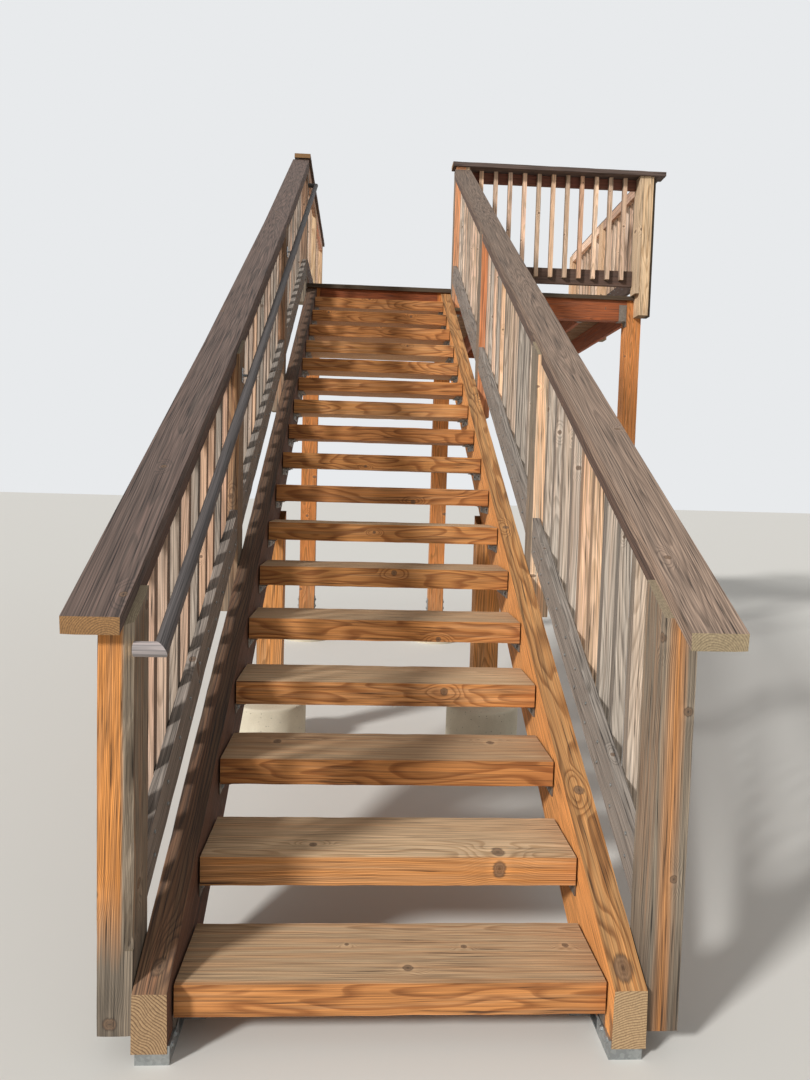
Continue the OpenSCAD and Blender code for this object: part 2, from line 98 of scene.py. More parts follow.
# A face is end grain where more than this of its direction is along the grain,
# and a front where more than this of it is towards the flight's foot
END_GRAIN = 0.75
FACING = 0.9
OPEN_CHECK = "#1C1511"
KNOT_HEART = "#7C614A"
KNOT_BARK = "#2E221A"
AIR_HOLE = "#645D52"
# The numbers of the Mix node's two colours among its inputs
MIX_A, MIX_B = 6, 7
# Where the values of a noise node nearly all lie
NOISE_LOW, NOISE_HIGH = 0.3, 0.7


def at(x: float, y: float, z: float) -> Vector:
    """Turns a place in the flight's own millimetres into the shared frame.

    Args:
        x: across the flight, from its middle.
        y: up the flight, from the first nosing.
        z: over the ground.

    Returns:
        The place in metres.
    """
    return Vector((x, y, z)) / 1000 - ORIGIN


def nosing(y: float) -> float:
    """Returns the height of the nosing line in millimetres."""
    return RISE + y * RISE / GOING


def edge_height(y: float) -> float:
    """Returns the height of a stringer's top edge in millimetres."""
    return nosing(y) + EDGE_RISE - EDGE_LOSS * y / HEAD_Y


def fade(distance: float, reach: float) -> float:
    """Returns 1 at no distance, falling to 0 at the reach."""
    return max(0.0, 1 - distance / reach)


def inwards(x: float) -> int:
    """Returns the sign of the way from a place to the flight's middle."""
    return 1 if x < -ORIGIN.x else -1


def linear(colour: str) -> Colour:
    """Turns an sRGB hex colour to linear.

    Args:
        colour: six hex digits after a hash sign.

    Returns:
        Linear red, green, blue and an alpha of 1.
    """
    parts = [int(colour[i : i + 2], 16) / 255 for i in (1, 3, 5)]
    turned = [p / 12.92 if p <= 0.04045 else ((p + 0.055) / 1.055) ** 2.4 for p in parts]
    return (turned[0], turned[1], turned[2], 1.0)


def add(tree: Tree, kind: str, inputs: dict[int | str, Any] | None = None,
        **settings: Any) -> Node:
    """Adds a node with its settings, input values and links.

    Args:
        tree: the node tree.
        kind: the node's type name.
        inputs: socket index or name to a value, an output socket, or a node,
            which stands for the first output that it has open.
        settings: the node's own properties.

    Returns:
        The new node.
    """
    made = tree.nodes.new(kind)
    for name, value in settings.items():
        setattr(made, name, value)
    for key, value in (inputs or {}).items():
        if isinstance(value, Node):
            value = next(out for out in value.outputs if out.enabled)
        if isinstance(value, Socket):
            tree.links.new(value, made.inputs[key])
        else:
            made.inputs[key].default_value = value
    return made


def fresh_tree(name: str) -> tuple[Material, Tree]:
    """Starts an empty material.

    Args:
        name: the material's name.

    Returns:
        The material and its node tree.
    """
    material = bpy.data.materials.new(name)
    material.use_nodes = True
    material.node_tree.nodes.clear()
    return material, material.node_tree


def finished(joined: BMesh, name: str, sharp: float | None = None) -> Mesh:
    """Turns gathered geometry into a mesh and frees it.

    Args:
        joined: the geometry.
        name: the mesh's name.
        sharp: the angle in degrees over which an edge stays sharp on a smooth
            mesh, or none for a faceted one.

    Returns:
        The mesh.
    """
    mesh = bpy.data.meshes.new(name)
    joined.to_mesh(mesh)
    joined.free()
    if sharp is not None:
        mesh.polygons.foreach_set("use_smooth", [True] * len(mesh.polygons))
        mesh.set_sharp_from_angle(angle=math.radians(sharp))
    return mesh


def walled(joined: BMesh, rings: list[list[bmesh.types.BMVert]]) -> list[bmesh.types.BMFace]:
    """Joins each ring of points to the next.

    Args:
        joined: the geometry that holds the rings.
        rings: the rings, each with as many points.

    Returns:
        The new faces.
    """
    made = []
    for a, b in zip(rings, rings[1:]):
        for s in range(len(a)):
            n = (s + 1) % len(a)
            made.append(joined.faces.new((a[s], a[n], b[n], b[s])))
    return made


class GrainRun(Enum):
    """Which way a timber's grain runs."""

    ACROSS = (1.0, 0.0, 0.0)
    BACK = (0.0, 1.0, 0.0)
    UP = (0.0, 0.0, 1.0)
    SLOPING = (0.0, math.cos(SLOPE), math.sin(SLOPE))
    LONGEST = (0.0, 0.0, 0.0)

    def frame(self, size: Vector) -> Matrix:
        """Gives the directions of the grain, the width and the thickness.

        Args:
            size: the timber's box, which settles LONGEST.

        Returns:
            The three directions as rows.
        """
        run = Vector(self.value)
        if self is GrainRun.LONGEST:
            k = max(range(3), key=lambda i: size[i])
            run = Vector([1.0 if i == k else 0.0 for i in range(3)])
        side = Vector((1, 0, 0)) if abs(run.x) < 0.5 else Vector((0, 1, 0))
        return Matrix((run, side, run.cross(side)))


@dataclass(frozen=True)
class TimberFinish:
    """Sawn softwood, rough off the saw and left to the weather for years.

    To the eye: orange where it is sheltered, silver where rain and sun reach
    it, with dark late-wood lines. Rings are 3 to 7 mm apart on the real boards
    and fibres under 2 mm: both are drawn coarse, so that they show from a few
    metres.
    """

    name: str
    slot: str
    early: str
    late: str
    grey: str
    grey_late: str
    end: str
    end_late: str
    ring_mm: float = 6.0
    wander_mm: float = 12.0
    fibre: float = 0.26
    streak: float = 1.6
    checks: float = 0.7
    spread: float = 0.25
    redness: float = 0.25
    roughness: float = 0.85
    bump_mm: float = 1.4

    def build(self) -> Material:
        """Makes the material.

        Returns:
            The finished material.
        """
        material, tree = fresh_tree(self.name)
        read = {name: add(tree, "ShaderNodeAttribute", attribute_name=name).outputs
                for name in (*LAYERS, *CORNER_LAYERS)}
        grain, end = read["grain"]["Vector"], read["end_grain"]["Fac"]
        slow, fibre, streak = (
            self._noise(tree, grain, scale, detail)
            for scale, detail in (SLOW_WAVES, FIBRE_WAVES, STREAK_WAVES))
        knot, eye = (self._knot(tree, read["knot"]["Vector"], read["branch"]["Vector"], along)
                     for along in (1.0, 0.45))
        knot = add(tree, "ShaderNodeMath", {0: fibre, 1: 0.7, 2: knot}, operation="MULTIPLY_ADD")
        rings = self._rings(tree, grain, slow, eye)
        splits = self._checks(tree, slow, fibre, end)
        silver = add(tree, "ShaderNodeMath", {0: streak, 1: self.streak, 2: -self.streak / 2},
                     operation="MULTIPLY_ADD")
        silver = add(tree, "ShaderNodeMath", {0: silver, 1: read["weather"]["Fac"]},
                     operation="ADD", use_clamp=True)
        early = add(tree, "ShaderNodeMix",
                    {0: read["hue"]["Fac"], MIX_A: linear(self.early), MIX_B: self._redder()},
                    data_type="RGBA")
        skin, aged, cut = (
            add(tree, "ShaderNodeMix",
                {0: rings, MIX_A: soft, MIX_B: linear(hard)}, data_type="RGBA")
            for soft, hard in ((early, self.late), (linear(self.grey), self.grey_late),
                               (linear(self.end), self.end_late)))
        for share, over in ((silver, aged), (end, cut)):
            skin = add(tree, "ShaderNodeMix",
                       {0: share, MIX_A: skin, MIX_B: over}, data_type="RGBA")
        skin = add(tree, "ShaderNodeVectorMath", {0: skin, 1: self._shade(tree, read, fibre, knot)},
                   operation="MULTIPLY")
        skin = add(tree, "ShaderNodeMix",
                   {0: splits, MIX_A: self._knotted(tree, knot, skin), MIX_B: linear(OPEN_CHECK)},
                   data_type="RGBA")
        height = fibre
        for hollow, depth in ((rings, -0.45), (splits, -1.5)):
            height = add(tree, "ShaderNodeMath", {0: hollow, 1: depth, 2: height},
                         operation="MULTIPLY_ADD")
        bump = add(tree, "ShaderNodeBump",
                   {"Strength": 0.6, "Distance": self.bump_mm / 1000, "Height": height})
        shader = add(tree, "ShaderNodeBsdfPrincipled",
                     {"Base Color": skin, "Roughness": self.roughness, "Normal": bump})
        add(tree, "ShaderNodeOutputMaterial", {0: shader})
        return material

    @staticmethod
    def _knotted(tree: Tree, knot: Source, skin: Source) -> Node:
        """Lays a knot's rings and its dark bark line over the skin.

        Args:
            tree: the material's node tree.
            knot: distance from the nearest knot, in its radii.
            skin: the colour without knots.

        Returns:
            The colour.
        """
        wave = add(tree, "ShaderNodeMath", {0: knot, 1: KNOT_WAVES}, operation="MULTIPLY")
        wave = add(tree, "ShaderNodeMath", {0: wave}, operation="SINE")
        dark = add(tree, "ShaderNodeMapRange", {0: wave, 1: -1.0, 2: 1.0, 3: 0.0, 4: 0.5})
        for clear, black in ((1.05, 1.35), (0.75, 0.5)):
            line = add(tree, "ShaderNodeMapRange", {0: knot, 1: clear, 2: black, 3: 0.0, 4: 0.9})
            dark = add(tree, "ShaderNodeMath", {0: dark, 1: line}, operation="MAXIMUM")
        core = add(tree, "ShaderNodeMix",
                   {0: dark, MIX_A: linear(KNOT_HEART), MIX_B: linear(KNOT_BARK)}, data_type="RGBA")
        inside = add(tree, "ShaderNodeMapRange", {0: knot, 1: 1.6, 2: 1.2, 3: 0.0, 4: 0.8},
                     interpolation_type="SMOOTHSTEP")
        return add(tree, "ShaderNodeMix", {0: inside, MIX_A: skin, MIX_B: core}, data_type="RGBA")

    def _redder(self) -> Colour:
        """Returns the early wood's colour shifted towards red brown."""
        r, g, b, _ = linear(self.early)
        return (r * (1 - 0.3 * self.redness), g * (1 - self.redness), b * (1 - self.redness), 1.0)

    def _shade(self, tree: Tree, read: dict[str, Any], fibre: Source, knot: Source) -> Node:
        """Lightens and darkens by fibre, timber, real stains with painted shade and light, and the
        halo round a knot.

        Args:
            tree: the material's node tree.
            read: the attributes' outputs.
            fibre: fine noise along the grain.
            knot: distance from the nearest knot.

        Returns:
            The factor.
        """
        depth = add(tree, "ShaderNodeMath",
                    {0: read["end_grain"]["Fac"], 1: -0.6 * self.fibre, 2: self.fibre},
                    operation="MULTIPLY_ADD")
        signed = add(tree, "ShaderNodeMapRange",
                     {0: fibre, 1: NOISE_LOW, 2: NOISE_HIGH, 3: -1.0, 4: 1.0})
        lines = add(tree, "ShaderNodeMath", {0: signed, 1: depth, 2: 1.0}, operation="MULTIPLY_ADD")
        tone = add(tree, "ShaderNodeMapRange",
                   {0: read["tone"]["Fac"], 1: 0.0, 2: 1.0, 3: 1 - self.spread / 2,
                    4: 1 + self.spread / 2})
        halo = add(tree, "ShaderNodeMapRange", {0: knot, 1: 3.0, 2: 1.6, 3: 1.0, 4: 1.16},
                   interpolation_type="SMOOTHSTEP")
        for factor in (read["stain"]["Fac"], lines, halo):
            tone = add(tree, "ShaderNodeMath", {0: tone, 1: factor}, operation="MULTIPLY")
        return tone

    @staticmethod
    def _noise(tree: Tree, grain: Source, scale: Triple, detail: float) -> Node:
        """Noise drawn out along the grain.

        Args:
            tree: the material's node tree.
            grain: the grain coordinate.
            scale: waves per metre along and across the grain.
            detail: finer octaves.

        Returns:
            The noise.
        """
        drawn = add(tree, "ShaderNodeVectorMath", {0: grain, 1: scale}, operation="MULTIPLY")
        return add(tree, "ShaderNodeTexNoise", {"Vector": drawn, "Scale": 1.0, "Detail": detail})

    @staticmethod
    def _knot(tree: Tree, away: Source, branch: Source, along: float) -> Node:
        """Distance from the nearest knot's axis, in the knot's radii.

        Args:
            tree: the material's node tree.
            away: the place seen from the knot.
            branch: the branch's direction, as long as its radius.
            along: how much a length along the grain counts.

        Returns:
            The distance.
        """
        away = add(tree, "ShaderNodeVectorMath", {0: away, 1: (along, 1, 1)}, operation="MULTIPLY")
        cross = add(tree, "ShaderNodeVectorMath", {0: away, 1: branch}, operation="CROSS_PRODUCT")
        far = add(tree, "ShaderNodeVectorMath", {0: cross}, operation="LENGTH")
        size = add(tree, "ShaderNodeVectorMath", {0: branch, 1: branch}, operation="DOT_PRODUCT")
        return add(tree, "ShaderNodeMath", {0: far, 1: size}, operation="DIVIDE")

    def _rings(self, tree: Tree, grain: Source, slow: Source, knot: Source) -> Node:
        """Growth rings round a wandering pith, pushed aside by knots.

        Args:
            tree: the material's node tree.
            grain: the grain coordinate.
            slow: slow noise that makes the rings wander.
            knot: distance from the nearest knot.

        Returns:
            The share of late wood.
        """
        flat = add(tree, "ShaderNodeVectorMath", {0: grain, 1: (0, 1, 1)}, operation="MULTIPLY")
        radius = add(tree, "ShaderNodeVectorMath", {0: flat}, operation="LENGTH")
        push = add(tree, "ShaderNodeMapRange", {0: knot, 1: 3.4, 2: 0.6, 3: 0.0, 4: 2.6},
                   interpolation_type="SMOOTHERSTEP")
        count = add(tree, "ShaderNodeMath", {0: radius, 1: 1000 / self.ring_mm, 2: push},
                    operation="MULTIPLY_ADD")
        phase = add(tree, "ShaderNodeMath",
                    {0: slow, 1: 4 * self.wander_mm / self.ring_mm, 2: count},
                    operation="MULTIPLY_ADD")
        saw = add(tree, "ShaderNodeMath", {0: phase}, operation="FRACT")
        ramp = add(tree, "ShaderNodeValToRGB", {0: saw})
        stops = ramp.color_ramp.elements
        stops[0].position, stops[0].color = 0.0, (0.08, 0.08, 0.08, 1)
        stops[1].position, stops[1].color = 1.0, (0.12, 0.12, 0.12, 1)
        for place, shade in ((0.45, 0.2), (0.8, 0.95), (0.92, 0.8)):
            stops.new(place).color = (shade, shade, shade, 1)
        return ramp

    def _checks(self, tree: Tree, slow: Source, fibre: Source, end: Source) -> Node:
        """Drying checks: thin dark dashes along the grain, open only in places.

        Args:
            tree: the material's node tree.
            slow: noise that says where they open.
            fibre: fine noise whose hollows they are.
            end: 1 on end grain, which has none.

        Returns:
            The checks' mask.
        """
        fibre = add(tree, "ShaderNodeMath", {0: fibre, 1: end}, operation="ADD")
        line = add(tree, "ShaderNodeMapRange", {0: fibre, 1: 0.36, 2: 0.28, 3: 0.0, 4: 0.85})
        where = add(tree, "ShaderNodeMapRange",
                    {0: slow, 1: 0.66 - 0.3 * self.checks, 2: 0.76 - 0.3 * self.checks, 3: 0.0,
                     4: 1.0})
        return add(tree, "ShaderNodeMath", {0: line, 1: where}, operation="MULTIPLY")


@dataclass(frozen=True)
class GalvanisedSteel:
    """Hot-dip galvanised plate.

    To the eye: a pale blue-grey zinc skin, dull, with a faint spangle of
    crystals 6 to 10 mm across, and clouds, so many a metre.
    """

    name: str = "hot_dip_galvanised_steel"
    slot: str = "galvanised_steel"
    zinc: str = "#BFC2C1"
    dull: str = "#989B9A"
    spangle_mm: float = 9.0
    clouds: float = 14.0
    roughness: float = 0.48
    smoother: float = 0.08
    rougher: float = 0.12

    def build(self) -> Material:
        """Makes the material.

        Returns:
            The finished material.
        """
        material, tree = fresh_tree(self.name)
        place = add(tree, "ShaderNodeTexCoord").outputs["Object"]
        spangle = add(tree, "ShaderNodeTexVoronoi",
                      {"Vector": place, "Scale": 1000 / self.spangle_mm})
        grey = add(tree, "ShaderNodeSeparateColor", {0: spangle.outputs["Color"]})
        cloud = add(tree, "ShaderNodeTexNoise",
                    {"Vector": place, "Scale": self.clouds, "Detail": 3.0})
        share = add(tree, "ShaderNodeMath", {0: grey, 1: 0.5, 2: cloud}, operation="MULTIPLY_ADD",
                    use_clamp=True)
        skin = add(tree, "ShaderNodeMix",
                   {0: share, MIX_A: linear(self.zinc), MIX_B: linear(self.dull)}, data_type="RGBA")
        rough = add(tree, "ShaderNodeMapRange",
                    {0: cloud, 1: NOISE_LOW, 2: NOISE_HIGH, 3: self.roughness - self.smoother,
                     4: self.roughness + self.rougher})
        shader = add(tree, "ShaderNodeBsdfPrincipled",
                     {"Base Color": skin, "Metallic": 0.8, "Roughness": rough})
        add(tree, "ShaderNodeOutputMaterial", {0: shader})
        return material


@dataclass(frozen=True)
class PlatedSteel:
    """Zinc-plated bracket steel.

    To the eye: brighter and smoother than the galvanised plate, with dull
    clouds about 30 mm across where the plating has aged.
    """

    name: str = "zinc_plated_steel"
    slot: str = "bracket_steel"
    bright: str = "#CED3D7"
    aged: str = "#A3A8AB"
    clouds: float = 33.0
    shiny: float = 0.28
    matt: float = 0.5

    def build(self) -> Material:
        """Makes the material.

        Returns:
            The finished material.
        """
        material, tree = fresh_tree(self.name)
        place = add(tree, "ShaderNodeTexCoord").outputs["Object"]
        cloud = add(tree, "ShaderNodeTexNoise",
                    {"Vector": place, "Scale": self.clouds, "Detail": 4.0})
        share = add(tree, "ShaderNodeMapRange", {0: cloud, 1: 0.4, 2: 0.7, 3: 0.0, 4: 1.0})
        skin = add(tree, "ShaderNodeMix",
                   {0: share, MIX_A: linear(self.bright), MIX_B: linear(self.aged)},
                   data_type="RGBA")
        rough = add(tree, "ShaderNodeMapRange",
                    {0: cloud, 1: NOISE_LOW, 2: NOISE_HIGH, 3: self.shiny, 4: self.matt})
        shader = add(tree, "ShaderNodeBsdfPrincipled",
                     {"Base Color": skin, "Metallic": 1.0, "Roughness": rough})
        add(tree, "ShaderNodeOutputMaterial", {0: shader})
        return material


@dataclass(frozen=True)
class CastConcrete:
    """Portland cement concrete cast in a round card form.

    To the eye: warm pale grey, with air holes of 3 to 8 mm, clouds of damp and
    a sandy skin. Clouds and grains are counted by the metre.
    """

    name: str = "form_cast_concrete"
    slot: str = "concrete"
    pale: str = "#DDD3BC"
    dark: str = "#B9AE98"
    pore_mm: float = 14.0
    clouds: float = 8.0
    grains: float = 380.0
    bump_mm: float = 1.5

    def build(self) -> Material:
        """Makes the material.

        Returns:
            The finished material.
        """
        material, tree = fresh_tree(self.name)
        place = add(tree, "ShaderNodeTexCoord").outputs["Object"]
        cloud = add(tree, "ShaderNodeTexNoise",
                    {"Vector": place, "Scale": self.clouds, "Detail": 6.0})
        pores = add(tree, "ShaderNodeTexVoronoi", {"Vector": place, "Scale": 1000 / self.pore_mm})
        hole = add(tree, "ShaderNodeMapRange", {0: pores, 1: 0.2, 2: 0.12, 3: 0, 4: 1})
        some = add(tree, "ShaderNodeSeparateColor", {0: pores.outputs["Color"]})
        some = add(tree, "ShaderNodeMath", {0: some, 1: 0.3}, operation="LESS_THAN")
        hole = add(tree, "ShaderNodeMath", {0: hole, 1: some}, operation="MULTIPLY")
        sand = add(tree, "ShaderNodeTexNoise",
                   {"Vector": place, "Scale": self.grains, "Detail": 2.0})
        skin = add(tree, "ShaderNodeMix",
                   {0: cloud, MIX_A: linear(self.pale), MIX_B: linear(self.dark)}, data_type="RGBA")
        grit = add(tree, "ShaderNodeMapRange",
                   {0: sand, 1: NOISE_LOW, 2: NOISE_HIGH, 3: 0.9, 4: 1.08})
        skin = add(tree, "ShaderNodeVectorMath", {0: skin, 1: grit}, operation="MULTIPLY")
        skin = add(tree, "ShaderNodeMix",
                   {0: hole, MIX_A: skin, MIX_B: linear(AIR_HOLE)}, data_type="RGBA")
        height = add(tree, "ShaderNodeMath", {0: hole, 1: -2.0, 2: sand}, operation="MULTIPLY_ADD")
        bump = add(tree, "ShaderNodeBump",
                   {"Strength": 0.5, "Distance": self.bump_mm / 1000, "Height": height})
        shader = add(tree, "ShaderNodeBsdfPrincipled",
                     {"Base Color": skin, "Roughness": 0.92, "Normal": bump})
        add(tree, "ShaderNodeOutputMaterial", {0: shader})
        return material


Finish = TimberFinish | GalvanisedSteel | PlatedSteel | CastConcrete

ZINC = GalvanisedSteel()
STAINED_ZINC = GalvanisedSteel(
    "dirt_stained_galvanised_steel", zinc="#A0968A", dull="#7C7166", roughness=0.6)
TREAD = TimberFinish(
    "rough_sawn_softwood_tread", "tread_timber",
    "#CB8D4F", "#945A2B", "#C4A784", "#A78865", "#A8845A", "#7A5A38",
    ring_mm=5.0, wander_mm=7.5, streak=1.2, checks=0.8, spread=0.22, redness=0.1, fibre=0.38)
STRINGER = TimberFinish(
    "rough_sawn_softwood_stringer", "stringer_timber",
    "#DC9C58", "#B5783C", "#AD8759", "#644228", "#BD9E76", "#816446",
    ring_mm=6.0, wander_mm=5.5, streak=1.3, checks=0.8, spread=0.05, fibre=0.42)
# The left stringer's finish: the right one's darkened with painted shade.
SHADED_STRINGER = TimberFinish(
    "shaded_softwood_stringer", "stringer_timber",
    "#6C4A33", "#4A3222", "#5E4935", "#3E2F24", "#B0906A", "#6B4F35",
    ring_mm=7.0, wander_mm=9.0, streak=1.3, checks=1.0, spread=0.05, fibre=0.5)
POST = TimberFinish(
    "weathered_softwood_post", "weathered_post",
    "#D6924C", "#A66630", "#8F806D", "#6D6154", "#9A8B72", "#736450",
    ring_mm=4.0, wander_mm=4.0, streak=0.9, checks=1.0, spread=0.12, fibre=0.5, redness=0.45)
DARK_CAP = TimberFinish(
    "weathered_softwood_cap_dark", "cap_timber",
    "#67544A", "#4F4039", "#61524A", "#4B4039", "#A47A4C", "#7A5A38",
    ring_mm=5.0, wander_mm=5.0, streak=0.9, checks=1.5, spread=0.1, fibre=0.6)
CAP = TimberFinish(
    "weathered_softwood_cap", "cap_timber",
    "#8C7462", "#6B584A", "#7F6E60", "#65564A", "#9A886A", "#7C6C54",
    ring_mm=5.0, wander_mm=5.0, streak=0.9, checks=1.2, spread=0.1, fibre=0.55)
# Sheltered brown wood, darkened further with painted shade from the cap above.
SUBRAIL = TimberFinish(
    "sheltered_shaded_softwood_brown", "subrail_timber",
    "#6E5442", "#44332A", "#655850", "#443A35", "#8A7453", "#5F4F3A",
    streak=1.0, checks=0.5, fibre=0.4)
SILVER = TimberFinish(
    "silvered_softwood_rail", "grey_rail_timber",
    "#93887A", "#6C6055", "#8C837A", "#6F675E", "#9C8E78", "#77695A",
    ring_mm=5.0, wander_mm=5.0, streak=0.7, checks=1.3, spread=0.1, fibre=0.5)
BALUSTER = TimberFinish(
    "weathered_softwood_baluster", "baluster_timber",
    "#D0AE8D", "#AE8C6B", "#BDB0A1", "#9A8E81", "#A08C72", "#756553",
    ring_mm=4.0, wander_mm=4.0, streak=0.8, checks=1.0, spread=0.6, redness=0.2, fibre=0.5)
# The left balusters: the baluster finish darkened with painted shade.
SHADED_BALUSTER = replace(
    BALUSTER, name="shaded_softwood_baluster", early="#B99A7F", late="#977860", grey="#A49789",
    grey_late="#84786C", spread=0.4)
# Weathered wood, darkened with painted shade along the grab rail's bar.
ROUND = TimberFinish(
    "turned_softwood_handrail", "grab_rail_timber",
    "#5C534E", "#433D3A", "#565251", "#403D3D", "#A79A86", "#7E7262",
    ring_mm=4.0, wander_mm=4.0, streak=0.8, checks=1.0, spread=0.2, roughness=0.65, fibre=0.45)
SUPPORT = TimberFinish(
    "oiled_softwood_support", "support_timber",
    "#D88E48", "#A66B31", "#A98B68", "#7C6345", "#A07E50", "#735A38",
    wander_mm=10.0, streak=1.2, checks=0.6, spread=0.3, fibre=0.4)
SHELTERED = TimberFinish(
    "sheltered_softwood_red", "sheltered_timber",
    "#A2562B", "#7A4220", "#86624C", "#614739", "#8A6242", "#5F432C",
    wander_mm=10.0, streak=1.2, checks=0.3, fibre=0.45)
GUARD = TimberFinish(
    "pale_softwood_guard", "guard_timber",
    "#DBB795", "#B69472", "#C8BBAC", "#A39585", "#A08766", "#75614A",
    ring_mm=4.0, wander_mm=5.0, streak=0.9, checks=0.8, spread=0.45, fibre=0.42)
GUARD_POST = TimberFinish(
    "pale_softwood_post", "guard_timber",
    "#EAC99E", "#C49D73", "#D2BC9F", "#A8937C", "#A08766", "#75614A",
    wander_mm=8.0, streak=1.2, checks=1.2, spread=0.12, fibre=0.4)
GUARD_RAIL = replace(GUARD, name="sheltered_softwood_guard_rail", redness=0.8, spread=1.3)
# The guard's bottom rails take the sub-rails' dark brown, painted shade in part.
GUARD_BOTTOM = replace(SUBRAIL, name="damp_softwood_guard_rail", slot="guard_timber")
POST_BOARD = replace(GUARD_POST, name="softwood_edge_board", slot="dark_board")


class Spot(NamedTuple):
    """A corner of one timber's face.

    Index is the timber's number in its node, low is the height over its lower
    end, and local is the place in the grain frame, seen from its centre.
    """

    index: int
    place: Vector
    way: Vector
    low: float
    tone: float
    local: Vector
    half: Vector


@dataclass(frozen=True)
class Weather:
    """How silver each side of a timber is: 0 is fresh, 1 is silver.

    Inner is the side towards the flight's middle. The foot's share is added
    towards a timber's lower end, over the reach in metres. Chance is how far
    one timber differs from the next.
    """

    front: float = 0.45
    back: float = 0.5
    top: float = 0.7
    under: float = 0.25
    inner: float = 0.45
    outer: float = 0.55
    foot: float = 0.0
    reach: float = 0.35
    chance: float = 0.3

    def on(self, spot: Spot) -> float:
        """Gives the share of silver skin at a corner.

        Args:
            spot: the corner.

        Returns:
            The share.
        """
        way = spot.way
        inward = way.x * inwards(spot.place.x) > 0
        sides = ((way.x, self.inner if inward else self.outer),
                 (way.y, self.front if way.y < 0 else self.back),
                 (way.z, self.top if way.z > 0 else self.under))
        share = sum(part * part * value for part, value in sides)
        return share + (spot.tone - 0.5) * self.chance + self.foot * fade(spot.low, self.reach)


@dataclass(frozen=True)
class Knot:
    """A knot: a place on the timber's skin, the branch's way and its radius."""

    place: Vector
    way: Vector
    radius: float


def knots_at(way: Triple, *places: tuple[float, float, float, float]) -> list[Knot]:
    """Returns knots of one direction, from places and radii in millimetres."""
    return [Knot(at(x, y, z), Vector(way), radius / 1000) for x, y, z, radius in places]


class Head(Enum):
    """Kinds of fastener head: sides, radius, height, washer radius, dome."""

    BOLT = (6, 0.0108, 0.0085, 0.0185, 0.0012)
    LAG = (6, 0.0072, 0.0055, 0.0105, 0.0008)
    SCREW = (10, 0.0060, 0.0008, 0.0040, 0.0009)
    NAIL = (10, 0.0048, 0.0006, 0.0030, 0.0016)


